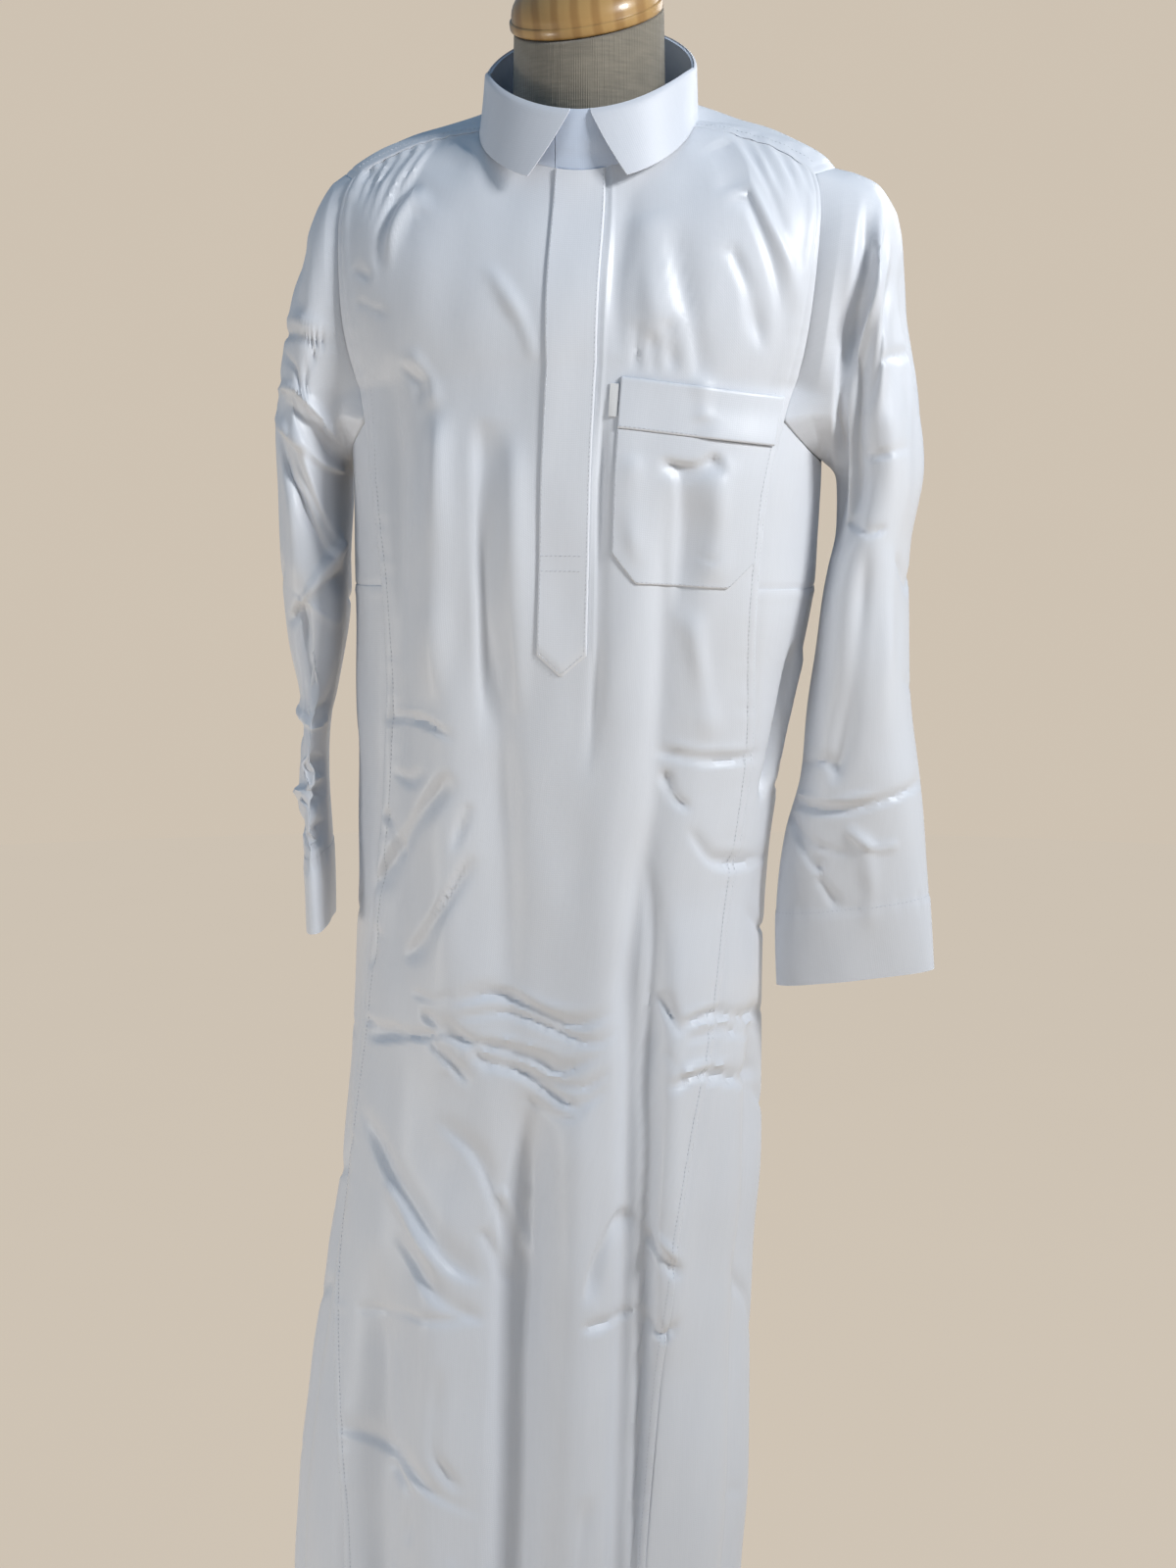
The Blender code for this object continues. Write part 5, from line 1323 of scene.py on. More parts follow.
@dataclass
class Collar:
    """Stand and leaf of the shirt collar."""

    material: Material
    # the stand's cotton: a darker, bluer copy of the interlined cotton with painted shade
    painted_shade: Material
    side_height: float = 0.041
    middle_rise: float = 0.005
    end_angle: float = -14.0
    opening: float = 5.5
    leaf_gap: float = 0.0022
    front_drop: float = 0.040
    side_drop: float = 0.043
    back_drop: float = 0.047
    spread: float = 0.0015
    front_spread: float = 0.0170
    point_swing: float = 19.0
    rest: float = 0.0022
    middle_height: float = 0.045
    button_height: float = 0.0010
    button_radius: float = 0.0052
    seam_gap: float = 0.0008

    def build(self) -> None:
        """Build both pieces."""
        self.add_stand()
        self.add_leaf()

    def stand_height(self, angle: Array) -> Array:
        """Height of the stand round the neck."""
        return self.side_height + self.middle_rise * np.cos(angle) ** 2

    def add_stand(self) -> Thing:
        """Stand, whose wearer's left end laps over a covered button."""
        angle = np.radians(np.array(even(self.end_angle + 0.25, self.end_angle + 359.75, 2.4)))[None, :]
        rise = column([-0.08, 0.0, 0.02] + even(0.08, 0.96, 0.08) + [0.985, 1.0])
        edge = np.minimum(1 - rise, 1.0) * self.side_height
        dip = -0.0004 * np.clip(1 - edge / 0.001, 0, 1)
        from_button = ((angle - 0.10) * ROBE.neck_front) ** 2 + ((rise - 0.52) * self.middle_height) ** 2
        button = self.button_height * np.exp(-from_button / self.button_radius ** 2)
        fold = np.exp(-(((rise - 0.22) * self.middle_height) / 0.0028) ** 2)
        fold = fold * np.exp(-((angle - 0.05) / 0.5) ** 2)
        widen = -0.0004 * rise + dip + button - 0.0006 * fold - 0.0012 * (rise < 0)
        points = ROBE.neck_point(angle, self.seam_gap + self.stand_height(angle) * rise, widen)
        # the stand takes the copy of the interlined cotton with painted shade
        piece = Cloth("collar_stand_cloth", "collar_stand", self.painted_shade, "collar_cloth", 0.0014,
                      (0.50, 0.046), 0.0225, "stretched", ("front_cloth", "yoke_cloth"))
        return piece.make(points[::-1])

    def leaf_point(self, turn: Array, drop_share: Array, lift: Array = 0.0) -> Array:
        """Point of the leaf, folded over the stand and down."""
        nearness = np.maximum(0.0, 1 - np.minimum(turn, 360 - turn) / 60.0)
        swing = self.point_swing * nearness * drop_share
        turned = turn + np.where(turn < 180, swing, -swing)
        angle = np.radians(turned)
        end = np.where(np.cos(angle) > 0, self.front_drop, self.back_drop)
        drop = mix(self.side_drop, end, np.abs(np.cos(angle)) ** 6)
        spread = mix(self.spread, self.front_spread, smooth(np.cos(angle) * 1.1))
        round_over = 0.0022 * np.clip(1 - drop_share / 0.06, 0, 1) ** 2
        widen = self.leaf_gap + spread * drop_share + lift - round_over
        rise = self.stand_height(angle) + 2 * self.seam_gap - drop * drop_share
        point = ROBE.neck_point(angle, rise, widen)
        ground = self.shoulder(angle, point) + self.rest
        point[..., 2] = np.maximum(point[..., 2], ground)
        return point

    @staticmethod
    def shoulder(angle: Array, point: Array) -> Array:
        """Height of the shoulder or chest below a point of the leaf."""
        out_x, out_y = np.sin(angle), -np.cos(angle)
        reach = point[..., 0] * out_x + point[..., 1] * out_y
        best = np.full(reach.shape, -1.0)
        before = None
        for share in np.linspace(0.0, 0.5, 40):
            spot = ROBE.cap_point(angle, np.full(angle.shape, share))
            far = spot[..., 0] * out_x + spot[..., 1] * out_y
            if before is not None:
                inside = (reach >= before[0]) & (reach < far)
                way = (reach - before[0]) / np.maximum(far - before[0], 1e-6)
                best = np.where(inside, mix(before[1], spot[..., 2], way), best)
            before = (far, spot[..., 2])
        return best

    def add_leaf(self) -> Thing:
        """Leaf with two pointed fronts."""
        turn = row(edged(self.opening, 360 - self.opening, 2.0, (0.3, 0.9, 2.0, 3.2, 4.4)))
        fold_rows = [0.0, 0.015, 0.035, 0.06]
        share = column(fold_rows + even(0.12, 0.92, 0.08) + [0.95, 0.975, 0.99, 1.0])
        points = self.leaf_point(turn + 0 * share, share + 0 * turn)
        piece = Cloth("collar_leaf_cloth", "collar_leaf", self.material, "collar_cloth", 0.0013,
                      (0.52, 0.062), 0.025, "folded", ("collar_stand_cloth",))
        return piece.make(points)


@dataclass
class FrontTrim:
    """Placket, chest pocket, its band and the bare tab."""

    panels: Panels
    material: Material
    # crisp is the placket's cotton: the lighter copy of the interlined cotton, whose colour is painted light
    crisp: Material
    tab: Material
    placket_end_z: float = 1.113
    placket_point: float = 0.018
    pocket_in: float = 0.040
    top_z: float = 1.332
    band_z: float = 1.291
    low_z: float = 1.170
    corner_rise: float = 0.024
    corner_share: float = 0.17
    tab_width: float = 0.007
    tab_top_z: float = 1.326
    tab_low_z: float = 1.300
    placket_lift: float = 0.0018
    pocket_lift: float = 0.0014
    band_lift: float = 0.0026
    tab_lift: float = 0.0016
    side_gap: float = 0.005

    @staticmethod
    def rounded_edge(distance: Array, thick: float, round_over: float = 0.0009) -> Array:
        """Height of a flat trim over its panel, rounded off at its edge."""
        rest = 1 - np.clip(distance / round_over, 0, 1)
        return 0.0004 + thick * np.sqrt(1 - np.minimum(rest, 0.999) ** 2)

    def add_placket(self) -> Thing:
        """Covered placket with a pointed foot."""
        half = ROBE.placket_half
        offset = row(edged(-half, half, 0.003, TRIM_PLACES))
        foot = ROBE.level_of(self.placket_end_z)
        share = column(even(0.0, 0.97, 0.008) + [0.98, 0.99, 0.996, 1.0])
        end = foot + self.placket_point * (1 - np.abs(offset) / half) + 0.0015
        warp = smooth((share - 0.80) / 0.20)
        level = np.where(share < 1e-9, 0.0, share) * mix(foot, end, warp)
        edge = np.minimum(half - np.abs(offset), (1 - share) * foot * 0.5)
        points = self.panels.on_front(offset + 0 * share, level, self.rounded_edge(edge, self.placket_lift))
        # the placket takes the lighter copy of the interlined cotton, with painted light
        piece = Cloth("placket_cloth", "placket", self.crisp, wall=0.0010, flat=(0.04, 0.42),
                      area=0.0162, held="laid", rests_on=("front_cloth",))
        return piece.make(points)

    def add_pocket(self) -> None:
        """Pocket body with cut corners, its wide band and the tab."""
        left = self.pocket_in
        right = ROBE.front_reach(1) - self.side_gap
        offset = row(edged(left, right, 0.0035, TRIM_PLACES))
        side = np.minimum(offset - left, right - offset) / (right - left)
        bottom = self.low_z + self.corner_rise * np.maximum(1 - side / self.corner_share, 0)
        share = column([0.0, 0.005] + even(0.02, 0.96, 0.025) + [0.98, 0.992, 0.997, 1.0])
        height = mix(self.band_z - 0.0003, bottom, share)
        edge = np.minimum(np.minimum(offset - left, right - offset), (1 - share) * 0.12)
        lift = self.rounded_edge(edge, self.pocket_lift)
        points = self.panels.on_front(offset + 0 * share, ROBE.level_of(height), lift)
        piece = Cloth("chest_pocket_cloth", "chest_pocket", self.material, wall=0.0008, flat=(0.128, 0.125),
                      area=0.0145, held="laid", rests_on=("front_cloth",))
        piece.make(points)

        share = column([0.0, 0.008, 0.02] + even(0.08, 0.90, 0.06) + [0.95, 0.98, 0.992, 1.0])
        height = mix(self.top_z, self.band_z, share) + 0 * offset
        tall = self.top_z - self.band_z
        edge = np.minimum(np.minimum(offset - left, right - offset), np.minimum(share, 1 - share) * tall)
        gape = 0.0022 * smooth((share - 0.3) / 0.7) * smooth((offset - 0.100) / 0.02)
        lift = self.rounded_edge(edge, self.band_lift) + gape
        points = self.panels.on_front(offset + 0 * share, ROBE.level_of(height), lift)
        piece = Cloth("pocket_band_cloth", "pocket_band", self.material, wall=0.0010, flat=(0.128, 0.042),
                      area=0.0053, held="laid", rests_on=("front_cloth", "chest_pocket_cloth"))
        piece.make(points)

        offset = row(even(left - 0.0010 - self.tab_width, left - 0.0010, 0.001))
        height = column(even(self.tab_top_z, self.tab_low_z, 0.002))
        points = self.panels.on_front(offset + 0 * height, ROBE.level_of(height) + 0 * offset, self.tab_lift)
        piece = Cloth("bare_tab", "pocket_tab", self.tab, "tab_cloth", 0.0008, (0.010, 0.026),
                      None, "laid", ("front_cloth",))
        piece.make(points)


@dataclass
class Stitching:
    """Rows of small stitches along the seams."""

    # thread: white thread painted darker than the cloth, as the shade along the stitch lines
    material: Material
    length: float = 0.0026
    gap: float = 0.0011
    thick: float = 0.00034
    inset: float = 0.0016
    placket_top: float = 0.0023
    pocket_top: float = 0.0019
    band_top: float = 0.0032
    bar_heights: tuple = (1.190, 1.178)

    def add(self, name: str, lines: list[Array], middle: Array | None = None) -> Thing:
        """Build one object of stitches along several lines.

        Args:
            name: Name of the piece.
            lines: Lines of points, already on the cloth.
            middle: Place that the stitches face away from, or none for the robe's middle line.

        Returns:
            The stitches.
        """
        verts, faces = [], []
        for line in lines:
            steps = np.linalg.norm(np.diff(line, axis=0), axis=1)
            places = np.concatenate([[0.0], np.cumsum(steps)])
            count = int(places[-1] / (self.length + self.gap))
            starts = np.arange(count) * (self.length + self.gap)
            ends = starts + self.length
            first = np.stack([np.interp(starts, places, line[:, k]) for k in range(3)], axis=-1)
            last = np.stack([np.interp(ends, places, line[:, k]) for k in range(3)], axis=-1)
            along = last - first
            along /= np.maximum(np.linalg.norm(along, axis=1, keepdims=True), 1e-9)
            centre = (first + last) / 2
            out = centre * np.array((1.0, 1.0, 0.0)) if middle is None else centre - middle
            out = out - (out * along).sum(-1, keepdims=True) * along
            out /= np.maximum(np.linalg.norm(out, axis=1, keepdims=True), 1e-9)
            over = np.cross(along, out)
            half = self.thick
            for a, b, m, o, s in zip(first, last, centre, out, over):
                base = len(verts)
                verts += [a, b, m + s * half, m + o * half * 1.2, m - s * half, m - o * half]
                for k in range(4):
                    i, j = base + 2 + k, base + 2 + (k + 1) % 4
                    faces += [(base, j, i), (base + 1, i, j)]
        mesh = bpy.data.meshes.new(name)
        mesh.from_pydata([tuple(v) for v in verts], [], faces)
        mesh.materials.append(self.material)
        thing = add_object(name, mesh)
        edit_all()
        face_outwards()
        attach(thing, "root")
        LOG.info("%s: %d stitches", name, len(verts) // 6)
        return thing

    def sew(self, panels: Panels, sleeves: Sleeves, trim: FrontTrim) -> None:
        """Stitch the side seams, armholes, placket, pocket, yoke and sleeve hems."""
        self.sew_sides(panels)
        self.sew_placket(panels, trim)
        self.sew_pocket(panels, trim)
        yoke = panels.yoke_grid
        self.add("yoke_stitches", [yoke[2:-6, 5], yoke[2:-6, -6], yoke[-6, 12:-12]])
        self.sew_hems(sleeves)

    def sew_sides(self, panels: Panels) -> None:
        """Two rows along each side seam, wider apart along the armhole."""
        below = even(1.0, ROBE.level_of(ROBE.hem_z + 0.002), 0.006)[1:]
        levels = np.array(even(0.012, 1.0, 0.02) + below)
        inner = np.interp(levels, (1.0, 1.06), (0.0022, 0.0012))
        outer = np.interp(levels, (0.96, 1.08), (0.0150, 0.0062))
        for side, label in SIDES:
            reach = ROBE.front_reach(side)
            lines = [panels.line_on_front(side * (reach - gap), levels, self.thick * 0.4)
                     for gap in (inner, outer)]
            self.add("side_seam_stitches_" + label, lines)

    def sew_placket(self, panels: Panels, trim: FrontTrim) -> None:
        """Both edges of the placket, its pointed foot and two bars above it."""
        foot = ROBE.level_of(trim.placket_end_z)
        levels = np.array(even(0.006, foot, 0.012))
        inset = ROBE.placket_half - self.inset
        point_line = np.array(even(-inset, inset, 0.002))
        point_level = foot + trim.placket_point * (1 - np.abs(point_line) / ROBE.placket_half) - self.inset
        lines = [panels.line_on_front(np.full(levels.shape, k * inset), levels, self.placket_top)
                 for k in (1, -1)]
        lines.append(panels.line_on_front(point_line, point_level, self.placket_top))
        across = np.array(even(-inset, inset, 0.003))
        for height in self.bar_heights:
            bar = np.full(across.shape, ROBE.level_of(height))
            lines.append(panels.line_on_front(across, bar, self.placket_top))
        self.add("placket_stitches", lines)

    def sew_pocket(self, panels: Panels, trim: FrontTrim) -> None:
        """Sides, cut bottom and band of the chest pocket."""
        inset = 0.0014
        left = trim.pocket_in + inset
        right = ROBE.front_reach(1) - trim.side_gap - inset
        heights = np.array(even(trim.band_z - 0.002, trim.low_z + trim.corner_rise - 0.001, 0.004))
        bottom = np.array(even(left, right, 0.002))
        near = np.minimum(bottom - left + inset, right + inset - bottom) / (right - left + 2 * inset)
        low = trim.low_z + self.inset + trim.corner_rise * np.maximum(1 - near / trim.corner_share, 0)
        lines = [panels.line_on_front(np.full(heights.shape, x), ROBE.level_of(heights), self.pocket_top)
                 for x in (left, right)]
        lines.append(panels.line_on_front(bottom, ROBE.level_of(low), self.pocket_top))
        band = np.array(even(left, right, 0.003))
        level = np.full(band.shape, ROBE.level_of(trim.band_z + 0.002))
        lines.append(panels.line_on_front(band, level, self.band_top))
        self.add("pocket_stitches", lines)

    def sew_hems(self, sleeves: Sleeves) -> None:
        """One ring round each sleeve's hem."""
        for label, (points, from_hem) in sleeves.hems.items():
            up, spots = from_hem[::-1], points[::-1]
            ring = [[np.interp(sleeves.hem_depth, up[:, k], spots[:, k, axis]) for axis in range(3)]
                    for k in range(0, points.shape[1], 2)]
            middle = points.reshape(-1, 3).mean(axis=0) * np.array((1.0, 1.0, 0.0))
            self.add("hem_stitches_" + label, [np.array(ring + ring[:1])], middle)


Tree = bpy.types.NodeTree
Socket = bpy.types.NodeSocket


def add_node(tree: Tree, kind: str, inputs: dict[str | int, object], **settings: object) -> bpy.types.Node:
    """Add a shader node.

    Args:
        tree: Tree that it goes into.
        kind: Kind of node, without the words that all kinds begin with.
        inputs: Value, or socket to join, for each input by its name or number.
        settings: Attributes of the node itself.

    Returns:
        The node.
    """
    node = tree.nodes.new("ShaderNode" + kind)
    for name, value in settings.items():
        setattr(node, name, value)
    feed(tree, node, inputs)
    return node


def feed(tree: Tree, node: bpy.types.Node, inputs: dict[str | int, object]) -> None:
    """Set a node's inputs to values or join them to sockets."""
    for name, value in inputs.items():
        if isinstance(value, Socket):
            tree.links.new(value, node.inputs[name])
        else:
            node.inputs[name].default_value = value


def new_group(name: str, given: dict[str, str], made: dict[str, str]) -> tuple[Tree, bpy.types.Node]:
    """Start a shader node group.

    Args:
        name: Name of the group.
        given: Kind of each input socket.
        made: Kind of each output socket.

    Returns:
        The group and the node that gives its inputs.
    """
    group = bpy.data.node_groups.new(name, "ShaderNodeTree")
    for way, sockets in (("INPUT", given), ("OUTPUT", made)):
        for title, kind in sockets.items():
            group.interface.new_socket(name=title, in_out=way, socket_type="NodeSocket" + kind)
    return group, group.nodes.new("NodeGroupInput")


def finish_group(group: Tree, results: dict[str | int, object]) -> Tree:
    """Join the results to the group's outputs."""
    feed(group, group.nodes.new("NodeGroupOutput"), results)
    return group


def plain_weave() -> Tree:
    """Group of the weave, its slubs, the cloth's fine crumple and its slow changes of tone."""
    group, given = new_group(
        "plain_weave",
        {"Weave Place": "Vector", "Cloth Place": "Vector", "Threads": "Float", "Weft Turn": "Vector",
         "Slub Stretch": "Vector", "Slub Height": "Float"},
        {"Weave Height": "Float", "Slub": "Float", "Crumple Height": "Float", "Tone": "Float"})
    place, threads = given.outputs["Weave Place"], given.outputs["Threads"]
    pitch = add_node(group, "Math", {0: threads, 1: 20.0}, operation="DIVIDE")
    turned = add_node(group, "Mapping", {"Vector": place, "Rotation": given.outputs["Weft Turn"]})
    yarns = [add_node(group, "TexWave", {"Vector": where, "Scale": pitch.outputs[0], "Distortion": 0.6,
                                         "Detail Scale": 2.0}).outputs["Fac"]
             for where in (place, turned.outputs["Vector"])]
    weave = add_node(group, "Math", {0: yarns[0], 1: yarns[1]}, operation="MULTIPLY")
    stretched = add_node(group, "Mapping", {"Vector": place, "Scale": given.outputs["Slub Stretch"]})
    slub_size = add_node(group, "Math", {0: threads, 1: 9.0}, operation="DIVIDE")
    slub = add_node(group, "TexNoise", {"Vector": stretched.outputs["Vector"], "Scale": slub_size.outputs[0],
                                        "Detail": 3.0}).outputs["Fac"]
    height = add_node(group, "Math", {0: slub, 1: given.outputs["Slub Height"], 2: weave.outputs[0]},
                      operation="MULTIPLY_ADD")
    body = given.outputs["Cloth Place"]
    crumple = add_node(group, "TexNoise", {"Vector": body, "Scale": 42.0, "Detail": 4.0, "Roughness": 0.55})
    tone = add_node(group, "TexNoise", {"Vector": body, "Scale": 5.0, "Detail": 5.0})
    share = add_node(group, "MapRange", {"Value": tone.outputs["Fac"], "From Min": 0.30, "From Max": 0.68})
    return finish_group(group, {"Weave Height": height.outputs[0], "Slub": slub,
                                "Crumple Height": crumple.outputs["Fac"], "Tone": share.outputs["Result"]})


def fine_grain() -> Tree:
    """Group of the pores in wood and the orange peel on metal, for height, tone and roughness."""
    group, given = new_group(
        "fine_grain",
        {"Place": "Vector", "Scale": "Float", "Detail": "Float", "Smoothest": "Float", "Roughest": "Float"},
        {"Height": "Float", "Roughness": "Float"})
    noise = add_node(group, "TexNoise", {name: given.outputs[title] for name, title in
                                         (("Vector", "Place"), ("Scale", "Scale"), ("Detail", "Detail"))})
    rough = add_node(group, "MapRange", {"Value": noise.outputs["Fac"], "To Min": given.outputs["Smoothest"],
                                         "To Max": given.outputs["Roughest"]})
    return finish_group(group, {"Height": noise.outputs["Fac"], "Roughness": rough.outputs["Result"]})


class Finish:
    """A new material with its node tree, its shader and the shared steps of all finishes."""

    # groups built so far, which all finishes share
    groups: dict[str, Tree] = {}

    def __init__(self, name: str) -> None:
        """Start the material."""
        self.material = bpy.data.materials.new(name)
        self.material.use_nodes = True
        self.tree = self.material.node_tree
        self.shader = self.tree.nodes["Principled BSDF"]
        self.place = add_node(self.tree, "TexCoord", {}).outputs["Object"]

    def shared(self, build: Callable[[], Tree], inputs: dict[str | int, object]) -> bpy.types.Node:
        """Place a shared group, which is built at its first use, with this finish's own values."""
        if build.__name__ not in self.groups:
            self.groups[build.__name__] = build()
        node = self.tree.nodes.new("ShaderNodeGroup")
        node.node_tree = self.groups[build.__name__]
        feed(self.tree, node, inputs)
        return node

    def blend(self, factor: Socket | float, first: object, second: object, way: str = "MIX") -> Socket:
        """Colour between two colours."""
        node = add_node(self.tree, "Mix", {"Factor": factor, "A": first, "B": second},
                        data_type="RGBA", blend_type=way)
        return node.outputs["Result"]

    def ramp(self, factor: Socket, dark: tuple, light: tuple, ends: tuple = (0.0, 1.0)) -> Socket:
        """Colour between dark and light over the stretch between two ends."""
        node = add_node(self.tree, "ValToRGB", {"Fac": factor})
        for stop, position, colour in zip(node.color_ramp.elements, ends, (dark, light)):
            stop.position = position
            stop.color = (*colour, 1.0)
        return node.outputs["Color"]

    def bump(self, height: Socket, strength: float, distance: float, under: Socket | None = None) -> Socket:
        """Normal of a bump, over another one where it is given."""
        inputs = {"Height": height, "Strength": strength, "Distance": distance}
        if under is not None:
            inputs["Normal"] = under
        return add_node(self.tree, "Bump", inputs).outputs["Normal"]

    def dress(self, inputs: dict[str | int, object]) -> Material:
        """Feed the shader and give the material."""
        feed(self.tree, self.shader, inputs)
        return self.material


@dataclass(frozen=True)
class ClothFinish:
    """Woven cloth: plain weave, fine slubs, soft sheen and slow changes of tone.

    Attributes:
        name: Name of the material.
        colour: Linear base colour.
        shade: Linear colour where the tone dips.
        roughness: Mean roughness.
        sheen: Weight of the soft sheen.
        threads: Fineness of the weave, in waves of yarn over two pi metres.
        relief: Strength of the weave's bump.
        slubs: Strength of thicker threads.
        by_cut: True where the weave follows the piece's cut map.
    """

    name: str
    colour: tuple[float, float, float]
    shade: tuple[float, float, float]
    roughness: float = 0.40
    sheen: float = 0.12
    threads: float = 3600.0
    relief: float = 0.12
    slubs: float = 0.0
    by_cut: bool = True

    def make(self) -> Material:
        """Build the material."""
        finish = Finish(self.name)
        place = finish.place
        weft_turn = (0.0, math.pi / 2, math.pi / 2)
        slub_stretch = (0.15, 0.15, 1.0)
        if self.by_cut:
            place = add_node(finish.tree, "UVMap", {}, uv_map="cut").outputs["UV"]
            weft_turn = (0.0, 0.0, math.pi / 2)
            slub_stretch = (1.0, 0.07, 0.07)
        weave = finish.shared(plain_weave, {
            "Weave Place": place, "Cloth Place": finish.place, "Threads": self.threads,
            "Weft Turn": weft_turn, "Slub Stretch": slub_stretch, "Slub Height": 0.35 + self.slubs})
        slub = weave.outputs["Slub"]
        tone = finish.blend(weave.outputs["Tone"], (*self.shade, 1.0), (*self.colour, 1.0))
        rough = add_node(finish.tree, "MapRange", {"Value": slub, "To Min": self.roughness - 0.05,
                                                   "To Max": self.roughness + 0.07})
        threads = finish.bump(weave.outputs["Weave Height"], self.relief, 0.0004)
        return finish.dress({
            "Base Color": finish.blend(0.05 + 0.5 * self.slubs, tone, slub, "MULTIPLY"),
            "Normal": finish.bump(weave.outputs["Crumple Height"], 0.10, 0.003, threads),
            "Roughness": rough.outputs["Result"], "Sheen Weight": self.sheen, "Sheen Roughness": 0.45,
            "Specular IOR Level": 0.5})


@dataclass(frozen=True)
class WoodFinish:
    """Varnished pale wood with turned grain."""

    name: str = "golden_wood"
    light: tuple[float, float, float] = (0.46, 0.28, 0.10)
    dark: tuple[float, float, float] = (0.35, 0.195, 0.062)
    rings: float = 20.0

    def make(self) -> Material:
        """Build the material."""
        finish = Finish(self.name)
        along = add_node(finish.tree, "Mapping", {"Vector": finish.place, "Scale": (1.0, 1.0, 0.35),
                                                  "Rotation": (0.5, 0.25, 0.2)}).outputs["Vector"]
        grain = add_node(finish.tree, "TexWave", {"Vector": along, "Scale": self.rings, "Distortion": 1.6,
                                                  "Detail": 3.0})
        pores = finish.shared(fine_grain, {"Place": along, "Scale": 600.0, "Detail": 2.0,
                                           "Smoothest": 0.30, "Roughest": 0.42})
        return finish.dress({
            "Base Color": finish.ramp(grain.outputs["Fac"], self.dark, self.light, (0.12, 0.60)),
            "Normal": finish.bump(pores.outputs["Height"], 0.08, 0.0004),
            "Roughness": pores.outputs["Roughness"], "Coat Weight": 0.35, "Coat Roughness": 0.18})


@dataclass(frozen=True)
class MetalFinish:
    """Satin black metal with a faint orange-peel texture and worn tone."""

    name: str = "black_metal"
    colour: tuple[float, float, float] = (0.030, 0.030, 0.033)

    def make(self) -> Material:
        """Build the material."""
        finish = Finish(self.name)
        peel = finish.shared(fine_grain, {"Place": finish.place, "Scale": 420.0, "Detail": 4.0,
                                          "Smoothest": 0.34, "Roughest": 0.50})
        worn = tuple(value * 1.7 for value in self.colour)
        return finish.dress({
            "Base Color": finish.ramp(peel.outputs["Height"], self.colour, worn),
            "Normal": finish.bump(peel.outputs["Height"], 0.10, 0.0003),
            "Roughness": peel.outputs["Roughness"], "Metallic": 0.85})


@dataclass(frozen=True)
class PaintFinish:
    """Plain painted surface with a faint mottle, which mostly glows, so that it stays even.

    Attributes:
        name: Name of the material.
        colour: Linear colour.
        lit: Share of its colour that lamps light.
        glow: Strength of its own light.
    """

    name: str
    colour: tuple[float, float, float]
    lit: float
    glow: float

    def make(self) -> Material:
        """Build the material."""
        finish = Finish(self.name)
        mottle = add_node(finish.tree, "TexNoise", {"Vector": finish.place, "Scale": 3.0, "Detail": 6.0})
        dull = tuple(value * 0.985 for value in self.colour)
        paint = finish.ramp(mottle.outputs["Fac"], dull, self.colour)
        return finish.dress({
            "Base Color": finish.blend(self.lit, (0.0, 0.0, 0.0, 1.0), paint), "Emission Color": paint,
            "Emission Strength": self.glow, "Roughness": 0.95, "Specular IOR Level": 0.05})


